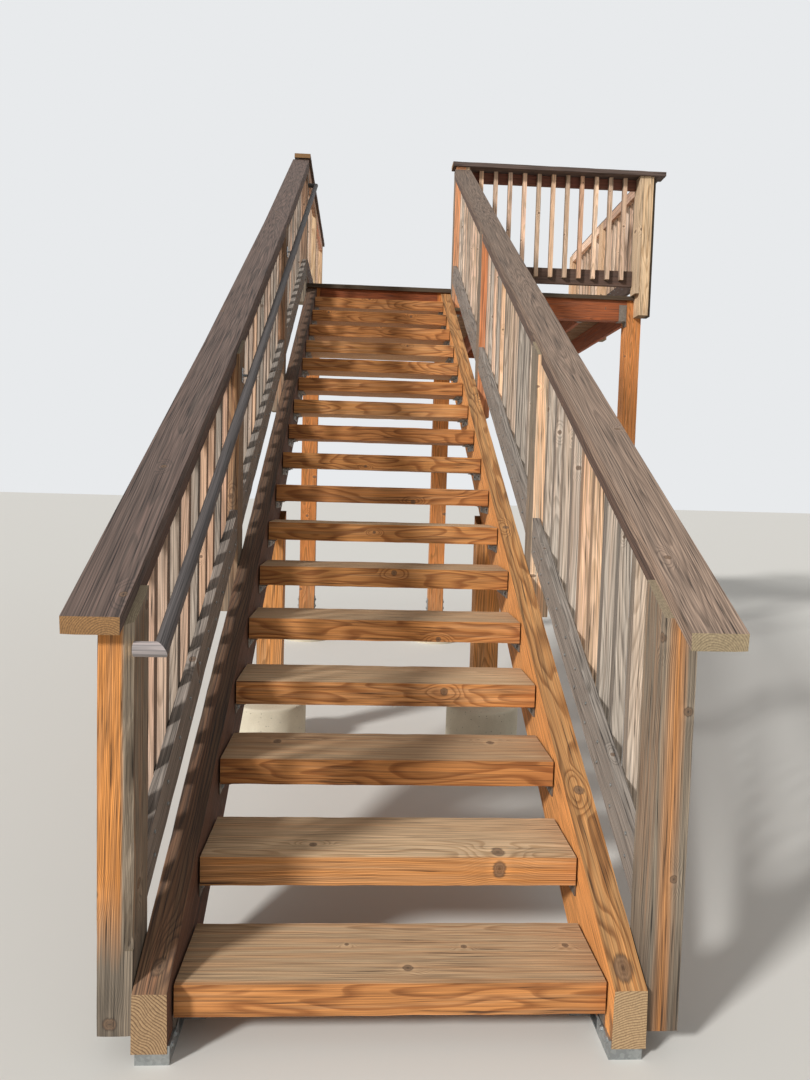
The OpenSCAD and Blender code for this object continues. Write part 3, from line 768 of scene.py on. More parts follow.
@dataclass
class Fasteners:
    """One kind of fastener wherever it is driven, set by Geometry Nodes."""

    name: str
    head: Head
    washer_height: float = 0.0044
    crown_top: float = 0.0015
    seed: int = 3
    spots: list[tuple[Vector, Vector]] = field(default_factory=list)

    def build(self, steel: Material) -> Mesh:
        """Sets a head on every spot.

        Args:
            steel: their finish.

        Returns:
            The mesh with all the heads.
        """
        mesh = bpy.data.meshes.new(f"{self.name}_spots")
        mesh.from_pydata([list(p) for p, _ in self.spots], [], [])
        facing = mesh.attributes.new("facing", "FLOAT_VECTOR", "POINT")
        for k, (_, way) in enumerate(self.spots):
            facing.data[k].vector = way
        carrier = bpy.data.objects.new(f"{self.name}_spots", mesh)
        bpy.context.scene.collection.objects.link(carrier)
        tree = self._tree(steel)
        modifier = carrier.modifiers.new("heads", "NODES")
        modifier.node_group = tree
        values = dict(zip(("Sides", "Radius", "Height", "Washer", "Dome"), self.head.value))
        for item in tree.interface.items_tree:
            if item.item_type == "SOCKET" and item.in_out == "INPUT" and item.name in values:
                modifier[item.identifier] = values[item.name]
        graph = bpy.context.evaluated_depsgraph_get()
        made = bpy.data.meshes.new_from_object(carrier.evaluated_get(graph))
        made.name = self.name
        carrier.modifiers.remove(modifier)
        bpy.data.objects.remove(carrier)
        return made

    def _tree(self, steel: Material) -> Tree:
        """Makes the node tree that sets the heads.

        Args:
            steel: the heads' finish.

        Returns:
            The node tree.
        """
        tree = bpy.data.node_groups.new(f"{self.name}_heads", "GeometryNodeTree")
        face = tree.interface
        face.new_socket("Geometry", in_out="INPUT", socket_type="NodeSocketGeometry")
        face.new_socket("Sides", in_out="INPUT", socket_type="NodeSocketInt")
        for name in ("Radius", "Height", "Washer", "Dome"):
            face.new_socket(name, in_out="INPUT", socket_type="NodeSocketFloat")
        face.new_socket("Geometry", in_out="OUTPUT", socket_type="NodeSocketGeometry")
        given = add(tree, "NodeGroupInput").outputs
        head = add(tree, "GeometryNodeMeshCylinder",
                   {"Vertices": given["Sides"], "Radius": given["Radius"],
                    "Depth": given["Height"]})
        lift = add(tree, "ShaderNodeMath", {0: given["Height"], 1: 0.5}, operation="MULTIPLY")
        middle = add(tree, "ShaderNodeCombineXYZ", {2: lift})
        head = add(tree, "GeometryNodeTransform", {"Geometry": head, "Translation": middle})
        washer = add(tree, "GeometryNodeMeshCylinder",
                     {"Vertices": 16, "Radius": given["Washer"], "Depth": self.washer_height})
        inner = add(tree, "ShaderNodeMath", {0: given["Radius"], 1: 0.8}, operation="MULTIPLY")
        crown = add(tree, "GeometryNodeMeshCone",
                    {"Vertices": 10, "Radius Top": self.crown_top, "Radius Bottom": inner,
                     "Depth": given["Dome"]})
        top = add(tree, "ShaderNodeCombineXYZ", {2: given["Height"]})
        crown = add(tree, "GeometryNodeTransform", {"Geometry": crown, "Translation": top})
        joined = add(tree, "GeometryNodeJoinGeometry")
        for part in (head, washer, crown):
            tree.links.new(part.outputs[0], joined.inputs[0])
        way = add(tree, "GeometryNodeInputNamedAttribute", {"Name": "facing"},
                  data_type="FLOAT_VECTOR")
        turned = add(tree, "FunctionNodeAlignRotationToVector", {"Vector": way}, axis="Z")
        spin = add(tree, "FunctionNodeRandomValue", {2: 0.0, 3: math.tau, "Seed": self.seed},
                   data_type="FLOAT")
        spin = add(tree, "ShaderNodeCombineXYZ", {2: spin})
        spin = add(tree, "FunctionNodeEulerToRotation", {0: spin})
        turned = add(tree, "FunctionNodeRotateRotation", {0: turned, 1: spin},
                     rotation_space="LOCAL")
        points = add(tree, "GeometryNodeMeshToPoints", {"Mesh": given["Geometry"]})
        placed = add(tree, "GeometryNodeInstanceOnPoints",
                     {"Points": points, "Instance": joined, "Rotation": turned})
        real = add(tree, "GeometryNodeRealizeInstances", {0: placed})
        done = add(tree, "GeometryNodeSetMaterial", {"Geometry": real, "Material": steel})
        add(tree, "NodeGroupOutput", {0: done})
        return tree


@dataclass
class Workshop:
    """What the sub-assemblies share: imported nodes, finishes and fasteners."""

    nodes: dict[str, Object]
    made: dict[Finish, Material] = field(default_factory=dict)
    boxes: dict[Head, Fasteners] = field(default_factory=dict)

    def finish(self, kind: Finish) -> Material:
        """Gives a finish's material and makes it the first time.

        Args:
            kind: the finish.

        Returns:
            Its material.
        """
        if kind not in self.made:
            self.made[kind] = kind.build()
        return self.made[kind]

    def place(self, mesh: Mesh, kind: Finish, *stands_for: str) -> None:
        """Links a mesh as a piece that rides on the stairs.

        Args:
            mesh: the finished mesh, in the shared frame.
            kind: its finish.
            stands_for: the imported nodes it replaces.
        """
        if not mesh.materials:
            mesh.materials.append(self.finish(kind))
        piece = bpy.data.objects.new(mesh.name, mesh)
        bpy.context.scene.collection.objects.link(piece)
        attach(piece, "root")
        if stands_for:
            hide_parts(*stands_for)
        LOG.info("%s: %d faces", piece.name, len(mesh.polygons))

    def coat(self, node: str, kind: Finish) -> None:
        """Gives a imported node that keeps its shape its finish.

        Args:
            node: the node's name.
            kind: the finish.
        """
        self.nodes[node].data.materials.clear()
        self.nodes[node].data.materials.append(self.finish(kind))
        LOG.info("%s: kept", node)

    def drive(self, head: Head, place: Vector, way: Triple) -> None:
        """Drives a fastener.

        Args:
            head: its kind.
            place: the middle of its head's seat.
            way: which way the head faces.
        """
        name = f"galvanised_{head.name.lower()}_heads"
        self.boxes.setdefault(head, Fasteners(name, head)).spots.append((place, Vector(way)))

    def screw_balusters(self, node: str, rises: tuple[float, ...]) -> None:
        """Screws balusters to the rail that runs along their inner faces.

        Args:
            node: the balusters' node.
            rises: the screws' heights over a baluster's foot.
        """
        for low, high in boxes_of(self.nodes[node]):
            way = inwards(low.x)
            rail = (high.x if way > 0 else low.x) + way * RAIL_THICKNESS
            for rise in rises:
                self.drive(Head.SCREW, Vector((rail, (low.y + high.y) / 2, low.z + rise)),
                           (way, 0, 0))


def islands(mesh: Mesh) -> tuple[BMesh, list[list[bmesh.types.BMFace]]]:
    """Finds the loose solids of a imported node.

    Args:
        mesh: the node's mesh, which stays as it is.

    Returns:
        A merged copy, and each solid's faces in the order of their place.
    """
    source = bmesh.new()
    source.from_mesh(mesh)
    bmesh.ops.remove_doubles(source, verts=source.verts, dist=1e-5)
    bmesh.ops.dissolve_limit(source, angle_limit=math.radians(0.5), verts=source.verts,
                             edges=source.edges)
    left = set(source.faces)
    found = []
    for seed in source.faces:
        if seed not in left:
            continue
        left.discard(seed)
        island, queue = [seed], [seed]
        while queue:
            for edge in queue.pop().edges:
                for face in edge.link_faces:
                    if face in left:
                        left.discard(face)
                        island.append(face)
                        queue.append(face)
        found.append(island)
    found.sort(key=lambda faces: [min(round(v.co[i], 3) for f in faces for v in f.verts)
                                  for i in (1, 0, 2)])
    return source, found


def corners(spots: list[Vector]) -> tuple[Vector, Vector]:
    """Returns the lowest and highest corners of the box round some places."""
    return tuple(Vector([pick(p[i] for p in spots) for i in range(3)]) for pick in (min, max))


def boxes_of(node: Object) -> list[tuple[Vector, Vector]]:
    """Measures each loose solid of a node.

    Args:
        node: the node.

    Returns:
        The lowest and highest corners of each.
    """
    source, found = islands(node.data)
    boxes = [corners([v.co for f in faces for v in f.verts]) for faces in found]
    source.free()
    return boxes


def timber_layers(joined: BMesh) -> Layers:
    """Makes the attribute layers that the timber finishes read.

    Args:
        joined: the mesh that gets them.

    Returns:
        The layers by name.
    """
    made = {}
    for names, home in ((LAYERS, joined.verts.layers), (CORNER_LAYERS, joined.loops.layers)):
        for name, width in names.items():
            made[name] = (home.float_vector if width == 3 else home.float).new(name)
    return made


class Blank(NamedTuple):
    """One timber on the bench: its solid, grain frame, centre and half sizes."""

    solid: BMesh
    frame: Matrix
    centre: Vector
    half: Vector

    def local(self, place: Vector) -> Vector:
        """Returns a place in the grain frame, seen from the centre."""
        return self.frame @ (place - self.centre)


@dataclass
class Timbers:
    """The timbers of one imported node, each with its own grain, wear and knots.

    Ease is the size of the eased edges, wear the most that is worn off them,
    and step the length between cuts across the grain. Cuts run along it, at
    shares of the half width. The pith drifts so far, in so many waves a metre.
    Marked holds the knots that show in the photo, and known a timber's tone,
    hue and pith, by its number in the node.
    """

    node: str
    run: GrainRun
    finish: TimberFinish
    weather: Weather = Weather()
    ease: float = 0.004
    rounds: int = 2
    wear: float = 0.002
    step: float = 0.08
    cuts: tuple[float, ...] = ()
    pith_y: tuple[float, float] = (-0.03, 0.03)
    pith_z: tuple[float, float] = (0.05, 0.12)
    flips: bool = True
    knot_gap: float = 0.9
    knot_radius: tuple[float, float] = (0.006, 0.014)
    knot_room: float = 0.16
    drift: float = 0.03
    drift_waves: float = 0.7
    end_band: float = 0.05
    end_dark: float = 0.18
    marked: dict[int, list[Knot]] = field(default_factory=dict)
    known: dict[int, tuple[float, float, float, float]] = field(default_factory=dict)

    def build(self, shop: Workshop) -> None:
        """Copies the node's solids, dresses each and joins them.

        Args:
            shop: the workshop.
        """
        dice = random.Random(self.node)
        source, found = islands(shop.nodes[self.node].data)
        joined = bmesh.new()
        layers = timber_layers(joined)
        for index, island in enumerate(found):
            self._dress(index, self._cut(island), joined, layers, dice)
        source.free()
        shop.place(finished(joined, f"{self.node}_timber"), self.finish, self.node)

    def _cut(self, island: list[bmesh.types.BMFace]) -> Blank:
        """Copies one solid, eases its edges and cuts it into short lengths.

        Args:
            island: the solid's faces.

        Returns:
            The timber, ready to be dressed.
        """
        one = bmesh.new()
        verts: dict[bmesh.types.BMVert, bmesh.types.BMVert] = {}
        for face in island:
            for v in face.verts:
                if v not in verts:
                    verts[v] = one.verts.new(v.co)
            one.faces.new([verts[v] for v in face.verts])
        low, high = corners([v.co for v in one.verts])
        frame = self.run.frame(high - low)
        low, high = corners([frame @ v.co for v in one.verts])
        centre, half = frame.transposed() @ ((low + high) / 2), (high - low) / 2
        sharp = [e for e in one.edges if e.calc_face_angle(0.0) > 0.3]
        bmesh.ops.bevel(one, geom=sharp, offset=self.ease, segments=self.rounds, profile=0.5,
                        affect="EDGES", clamp_overlap=True)
        count = max(1, round(2 * half.x / self.step))
        slices = [(0, -half.x + 2 * half.x * k / count) for k in range(1, count)]
        slices += [(1, half.y * c) for c in self.cuts]
        for axis, place in slices:
            bmesh.ops.bisect_plane(one, geom=[*one.verts, *one.edges, *one.faces],
                                   plane_co=centre + frame.row[axis] * place,
                                   plane_no=frame.row[axis])
        return Blank(one, frame, centre, half)

    def _dress(self, index: int, blank: Blank, joined: BMesh, layers: Layers,
               dice: random.Random) -> None:
        """Wears one timber and adds it to the joined mesh with its attributes.

        Args:
            index: the timber's number in the node.
            blank: the timber.
            joined: the mesh that collects the timbers.
            layers: its attribute layers.
            dice: the seeded random numbers.
        """
        one, centre, half = blank.solid, blank.centre, blank.half
        self.shape(index, one)
        seed = dice.uniform(-40, 40)
        turn = dice.choice((-1, 1)) if self.flips else 1
        pith = Vector((seed, dice.uniform(*self.pith_y), dice.uniform(*self.pith_z) * turn))
        tone, hue = dice.random(), dice.random()
        if index in self.known:
            tone, hue, pith.y, pith.z = self.known[index]
        knots = self._knots(index, blank, pith, dice)
        low = min(v.co.z for v in one.verts)
        copies = {}
        for v in one.verts:
            local = blank.local(v.co)
            corner = (min(1, abs(local.y) / half.y) * min(1, abs(local.z) / half.z)) ** 3
            rough = 0.5 + 0.9 * abs(noise.noise(v.co * 8 + Vector((seed, 0, 0))))
            worn = self.wear * corner * rough
            moved = Vector((local.x, local.y * (1 - worn / half.y), local.z * (1 - worn / half.z)))
            copy = joined.verts.new(centre + blank.frame.transposed() @ moved)
            x = local.x * self.drift_waves
            drift = Vector((0, self.drift * noise.noise(Vector((x, seed, 0))),
                            self.drift * noise.noise(Vector((x, 0, seed)))))
            copy[layers["grain"]] = local + pith + drift
            copy[layers["tone"]] = tone
            copy[layers["hue"]] = hue
            copies[v] = copy
        one.normal_update()
        for face in one.faces:
            made = joined.faces.new([copies[v] for v in face.verts])
            middle = blank.local(face.calc_center_median()).x
            knot = min(knots, key=lambda k: abs(k[0].x - middle))
            end = 1.0 if abs(face.normal.dot(blank.frame.row[0])) > END_GRAIN else 0.0
            for loop, corner in zip(made.loops, face.loops):
                place = corner.vert.co
                local = blank.local(place)
                spot = Spot(index, place, face.normal, place.z - low, tone, local, half)
                loop[layers["knot"]] = NO_KNOT[0] if end else local - knot[0]
                loop[layers["branch"]] = knot[1]
                loop[layers["end_grain"]] = end
                loop[layers["weather"]] = self.silver(spot)
                loop[layers["stain"]] = self.stain(spot)
        one.free()

    def _knots(self, index: int, blank: Blank, pith: Vector,
               dice: random.Random) -> list[tuple[Vector, Vector]]:
        """Scatters knots along a timber, after those it is known to have.

        Args:
            index: the timber's number in the node.
            blank: the timber.
            pith: where the pith is, seen from the timber.
            dice: the seeded random numbers.

        Returns:
            Places and branches in the grain frame.
        """
        half = blank.half
        found = [(blank.local(k.place), (blank.frame @ k.way).normalized() * k.radius)
                 for k in self.marked.get(index, [])]
        x = -half.x + dice.uniform(0.1, 1.0) * self.knot_gap
        while x < half.x - 0.03:
            goal = Vector((x, dice.uniform(-half.y, half.y), dice.uniform(-half.z, half.z)))
            way = Vector((0.0, goal.y + pith.y, goal.z + pith.z))
            if all(abs(x - k[0].x) > self.knot_room for k in found) and way.length > 0.01:
                found.append((goal, way.normalized() * dice.uniform(*self.knot_radius)))
            x += dice.uniform(0.5, 1.5) * self.knot_gap
        return found or [NO_KNOT]

    def shape(self, index: int, one: BMesh) -> None:
        """Changes one timber's shape, where its kind needs it."""

    def silver(self, spot: Spot) -> float:
        """Returns the share of silver skin at a corner."""
        return self.weather.on(spot)

    def stain(self, spot: Spot) -> float:
        """Returns a corner's brightness, 1 where it is clean, less at the ends."""
        return 1.0 - self.end_dark * fade(spot.half.x - abs(spot.local.x), self.end_band)


@dataclass
class Tread(Timbers):
    """One solid tread, its nosing rounded by feet and its top silvered."""

    nose_band: float = 0.022
    nose_wear: float = 0.45
    end_band: float = 0.06
    end_dark: float = 0.14
    # painted shade on the tread's underside
    under_shade: float = 0.1

    def silver(self, spot: Spot) -> float:
        """Gives the share of silver skin, less along the worn nosing.

        Args:
            spot: the corner.

        Returns:
            The share.
        """
        share = self.weather.on(spot)
        front = GOING / 1000 * (int(self.node[-2:]) - 1) - ORIGIN.y
        worn = self.nose_wear * fade(spot.place.y - front, self.nose_band)
        return share - (worn if spot.way.z > 0.5 else 0.0)

    def stain(self, spot: Spot) -> float:
        """Returns a corner's brightness: darker ends, and painted shade below."""
        return super().stain(spot) - (self.under_shade if spot.way.z < -0.5 else 0.0)


@dataclass
class Stringer(Timbers):
    """One stringer, the inner half of its top edge darkened with the rail's painted shadow.

    The foot is how much paler its lower end is, with painted sunlight.
    """

    # foot: painted sunlight on the top edge's lower end
    foot: float = 0.0
    lit_foot_reach: float = 0.4
    rail_shadow: float = 0.7
    upward: float = 0.6

    def stain(self, spot: Spot) -> float:
        """Gives a corner's brightness.

        Args:
            spot: the corner.

        Returns:
            The factor, 1 away from the top edge.
        """
        if spot.way.z <= self.upward:
            return 1.0
        inward = spot.local.y * inwards(spot.place.x) > 0.001
        # painted light paler at the foot; the rail's painted shadow darkens the inner half
        pale = self.foot * fade(spot.place.y + ORIGIN.y, self.lit_foot_reach)
        return (self.rail_shadow if inward else 1.0) + pale


@dataclass
class RailPosts(Timbers):
    """The posts of one side, the left first one with a waney corner.

    Fronts holds the silver and the brightness of single posts' front faces.
    The right first post has a bare strip up its front, and the left first one
    is silver at its foot only.
    """

    fronts: dict[int, tuple[float, float]] = field(default_factory=dict)
    wane: float = 0.024
    wane_foot: float = 0.29
    wane_x: float = -675
    wane_rough: tuple[float, float] = (0.0045, 0.0012)
    wane_start: float = 0.2
    wane_silver: float = 1.15
    wane_highlight: float = 1.35
    strip_x: float = 688
    strip: float = 0.034
    strip_bare: float = 0.95
    front_silver: float = 1.1
    least_silver: float = 0.08
    silver_foot: float = 0.26
    splash: float = 0.42
    splash_top: float = 0.22
    splash_from: float = 0.065
    inner_shade: float = 0.88

    def shape(self, index: int, one: BMesh) -> None:
        """Roughens the wane of the left first post.

        Args:
            index: the post's number.
            one: its solid.
        """
        if "left" not in self.node or index != 0:
            return
        corner = at(-STRINGER_FACE, POSTS_Y[0], 0)
        for v in one.verts:
            away = Vector((v.co.x - corner.x, v.co.y - corner.y, 0))
            if away.length < self.wane * 1.3 and v.co.z > self.wane_foot:
                wave = noise.noise(Vector((v.co.z * 6, v.co.x * 40, 3.0)))
                fine = noise.noise(v.co * 60)
                deep, slight = self.wane_rough
                v.co += Vector((-1, 1, 0)) * (deep * max(0.0, wave + 0.35) + slight * fine)

    def _on_wane(self, spot: Spot) -> bool:
        """Tells whether a corner is on the left first post's wane."""
        first = spot.index == 0 and "left" in self.node
        return first and spot.way.y < -0.3 and spot.place.x > at(self.wane_x, 0, 0).x

    def silver(self, spot: Spot) -> float:
        """Gives the share of silver skin, with the first posts' own.

        Args:
            spot: the corner.

        Returns:
            The share.
        """
        if self._on_wane(spot) and spot.low > self.wane_start:
            return self.wane_silver
        if spot.way.y < -FACING and "right" in self.node:
            if spot.index == 0:
                aside = abs(spot.place.x - at(self.strip_x, 0, 0).x)
                return self.front_silver - self.strip_bare * fade(aside, self.strip)
            return self.fronts[spot.index][0]
        if spot.way.y < -FACING and spot.index == 0:
            foot = min(1.0, max(0.0, 1.5 - spot.low / self.silver_foot))
            return self.least_silver + self.front_silver * foot
        return self.weather.on(spot)

    def stain(self, spot: Spot) -> float:
        """Gives a corner's brightness: the feet are dark with splashed damp, the inner faces darker
        with painted shade, and the wane lighter with a painted highlight.

        Args:
            spot: the corner.

        Returns:
            The factor.
        """
        if spot.way.y < -FACING and spot.index in self.fronts:
            return self.fronts[spot.index][1]
        high = (spot.place.z - self.splash_from) / self.splash_top
        damp = min(1.0, max(0.0, 1.4 - high))
        # painted shade on the inner faces; painted highlight on the wane
        clean = self.inner_shade if spot.way.x * inwards(spot.place.x) > 0.5 else 1.0
        return (self.wane_highlight if self._on_wane(spot) else clean) - self.splash * damp


@dataclass
class CapBoard(Timbers):
    """One sloping cap board; low is how much paler its lower end is."""

    low: float = 0.0
    length: float = 5.3
    darkest: float = 0.8
    fall: float = 2.6

    def stain(self, spot: Spot) -> float:
        """Returns a corner's brightness, 1 a little under mid height."""
        along = (spot.place.y + ORIGIN.y) / self.length
        return max(self.darkest, 1 + self.low * (1 - self.fall * along)) * super().stain(spot)


@dataclass
class Balusters(Timbers):
    """A row of balusters, each weathered in its own way.

    The right row of the stairs grows brighter upwards, by so much a metre.
    """

    brighten_up: float = 0.045
    # sides: painted shade; faces: painted light
    sides: float = 0.5
    faces: float = 1.18
    shelter: float = 0.4
    exposed: float = 0.74

    def silver(self, spot: Spot) -> float:
        """Returns the share of silver skin, low on the few sheltered ones."""
        sheltered = (spot.tone * 7) % 1 > self.exposed
        return self.weather.on(spot) - (self.shelter if sheltered else 0.0)

    def stain(self, spot: Spot) -> float:
        """Returns a corner's brightness: painted shade on the sides, painted light on the faces."""
        brighten_up = self.brighten_up * (spot.place.y + ORIGIN.y) if "right" in self.node else 0.0
        return (self.sides if abs(spot.way.x) > 0.5 else self.faces) + brighten_up


@dataclass
class DeckBoards(Timbers):
    """The landing's boards: nearly black on their front faces, and darker below with painted shade.
    """

    edge: float = 0.15
    under: float = 0.45

    def stain(self, spot: Spot) -> float:
        """Returns a corner's brightness."""
        # front faces nearly black; undersides darker with painted shade
        return self.edge if spot.way.y < -0.4 else self.under if spot.way.z < -0.5 else 1.0


@dataclass
class PostBoards(Timbers):
    """The boards beside the guard's front posts; the outermost is nearly black with the post's
    painted shadow.
    """

    outermost: float = 2430
    dark: float = 0.14
    plain: float = 0.85

    def stain(self, spot: Spot) -> float:
        """Returns a corner's brightness."""
        # the outermost board gets the post's painted shadow
        return self.dark if spot.place.x > at(self.outermost, 0, 0).x else self.plain


@dataclass
class Flight:
    """The stringers, the treads and the angles that carry the treads."""

    treads: int = 17
    clip_lags: tuple[float, ...] = (50, 207)
    clip_reach: float = 0.021
    clip_plate: float = 0.004
    side_lag: tuple[float, float] = (0.012, 0.022)
    shoe_x: float = 526
    shoe_top: float = 6
    shoe_bolts: tuple[float, ...] = (155, 231)
    wing_lags: tuple[float, ...] = (-20, 20)
    wing_height: float = 40

    def build(self, shop: Workshop) -> None:
        """Builds the flight.

        Args:
            shop: the workshop.
        """
        top = Weather(front=0.04, back=0.3, top=0.92, under=0.25, chance=0.25)
        marks = {1: knots_at((0, 0.25, 1), (41, 68, 180, 13), (202, 165, 180, 8),
                             (489, 170, 180, 9), (-123, 178, 180, 6)),
                 2: knots_at((0, 0.9, 0.9), (324, 340, 345, 19))}
        known = {1: {0: (0.3, 1.0, -0.11, 0.012)}, 2: {0: (1.0, 0.0, 0.12, 0.16)}}
        for i in range(1, self.treads + 1):
            Tread(f"tread_{i:02d}", GrainRun.ACROSS, TREAD, top, ease=0.007, rounds=3, wear=0.003,
                  step=0.045, cuts=(-0.85,), pith_y=(-0.16, -0.06), pith_z=(0.0, 0.02),
                  knot_gap=0.8, marked={0: marks.get(i, [])}, known=known.get(i, {})).build(shop)
        side = Weather(front=0.6, back=0.4, top=0.62, under=0.3, inner=-0.1, outer=0.5, chance=0.0)
        right = (knots_at((0.1, 0.3, 1), (600, 12, 231, 26))
                 + knots_at((0.0, -0.5, 1), (608, 500, 509, 17)))
        left = knots_at((0.3, 0.3, 1), (-590, 20, 233, 17))
        # the left stringer gets painted sunlight at its foot and a finish darkened with painted
        # shade
        for name, kind, marked, pith, foot in (
                ("stringer_right", STRINGER, right, (-0.032, -0.11), 0.0),
                ("stringer_left", SHADED_STRINGER, left, (0.1, -0.04), 1.0)):
            Stringer(name, GrainRun.SLOPING, kind, side, wear=0.003, step=0.06, cuts=(0.0,),
                     flips=False, knot_gap=1.2, knot_radius=(0.01, 0.016), marked={0: marked},
                     known={0: (0.5, 0.5, *pith)}, foot=foot).build(shop)
        self._fasten(shop)

    def _fasten(self, shop: Workshop) -> None:
        """Screws the treads' angles up and sideways, and the shoes down.

        Args:
            shop: the workshop.
        """
        shop.coat("tread_clips", STAINED_ZINC)
        for low, high in boxes_of(shop.nodes["tread_clips"]):
            way = inwards(low.x)
            wall = low.x if way > 0 else high.x
            for along in self.clip_lags:
                y = low.y + along / 1000
                under = Vector((wall + way * self.clip_reach, y, high.z - self.clip_plate))
                shop.drive(Head.LAG, under, (0, 0, -1))
                beside = Vector((wall + way * self.clip_plate, y - self.side_lag[0],
                                 high.z - self.side_lag[1]))
                shop.drive(Head.LAG, beside, (way, 0, 0))
        for s in (-1, 1):
            for y in self.shoe_bolts:
                shop.drive(Head.BOLT, at(s * self.shoe_x, y, self.shoe_top), (0, 0, 1))
            for y in self.wing_lags:
                place = at(s * (INSIDE - self.shoe_top), y, self.wing_height)
                shop.drive(Head.LAG, place, (-s, 0, 0))


@dataclass
class SideRail:
    """One side's rail: posts, cap board and balusters, and their bolts."""

    side: str
    bolt_drops: tuple[float, ...] = (62, 165)
    bolt_slant: float = 0.3
    bolt_y: float = 40
    post_half: float = 70
    screw_rise: tuple[float, ...] = (0.045, 0.110)

    def build(self, shop: Workshop) -> None:
        """Builds the rail.

        Args:
            shop: the workshop.
        """
        left = self.side == "left"
        self._posts(shop, left)
        CapBoard(f"stair_cap_{self.side}", GrainRun.SLOPING, DARK_CAP if left else CAP,
                 Weather(top=0.6, inner=0.4, outer=0.5), ease=0.006, rounds=3, wear=0.003,
                 cuts=(-0.6, 0.6), pith_y=(-0.02, 0.02), pith_z=(-0.1, -0.07), flips=False,
                 knot_gap=0.75, knot_radius=(0.006, 0.011), low=0.0 if left else 0.3).build(shop)
        balusters = f"stair_balusters_{self.side}"
        Balusters(balusters, GrainRun.UP, SHADED_BALUSTER if left else BALUSTER,
                  Weather(front=0.7, back=0.75, inner=0.7, outer=0.8, foot=0.2, chance=-0.9),
                  ease=0.002, wear=0.001, step=0.12, pith_z=(0.04, 0.1), knot_gap=1.3,
                  knot_radius=(0.004, 0.01)).build(shop)
        shop.screw_balusters(balusters, self.screw_rise)
        s = -1 if left else 1
        for y in POSTS_Y[:3]:
            top = edge_height(y + self.post_half)
            for drop in self.bolt_drops:
                place = at(s * POST_FACE, y + self.bolt_y + drop * self.bolt_slant, top - drop)
                shop.drive(Head.BOLT, place, (s, 0, 0))

    def _posts(self, shop: Workshop, left: bool) -> None:
        """Builds the posts, each with the front that the photo shows.

        Args:
            shop: the workshop.
            left: whether they are the left ones.
        """
        post = Weather(front=0.75, back=0.7, inner=0.95, outer=0.7, foot=0.3, chance=0.2)
        known = {0: (0.5, 0.1, 0.13, 0.1)}
        fronts = {}
        marks = knots_at((0.1, 1, 0), (-705, -28, 97, 17))
        if not left:
            known |= {1: (1.0, 0.0, 0.1, 0.1), 2: (0.5, 1.0, 0.1, 0.1), 3: (0.5, 0.8, 0.1, 0.1)}
            fronts = {1: (0.85, 2.8), 2: (0.35, 1.5), 3: (0.5, 1.9)}
            marks = knots_at((0.1, 1, 0), (722, -28, 905, 12), (706, -28, 470, 10))
        RailPosts(f"stair_posts_{self.side}", GrainRun.UP, POST, post, step=0.05,
                  cuts=(-0.75, -0.45, -0.1, 0.25, 0.6), pith_y=(-0.02, 0.02), pith_z=(0.1, 0.16),
                  knot_gap=0.6, marked={0: marks}, known=known, fronts=fronts).build(shop)


@dataclass
class RailBoards:
    """The boards of both rails: under the caps, and the bottom rails."""

    def build(self, shop: Workshop) -> None:
        """Builds the boards.

        Args:
            shop: the workshop.
        """
        Timbers("stair_subrails", GrainRun.SLOPING, SUBRAIL, ease=0.003).build(shop)
        Timbers("stair_bottom_rails", GrainRun.SLOPING, SILVER,
                Weather(top=0.9, inner=0.85, outer=0.8), ease=0.014, rounds=5, wear=0.003,
                pith_z=(0.1, 0.16)).build(shop)


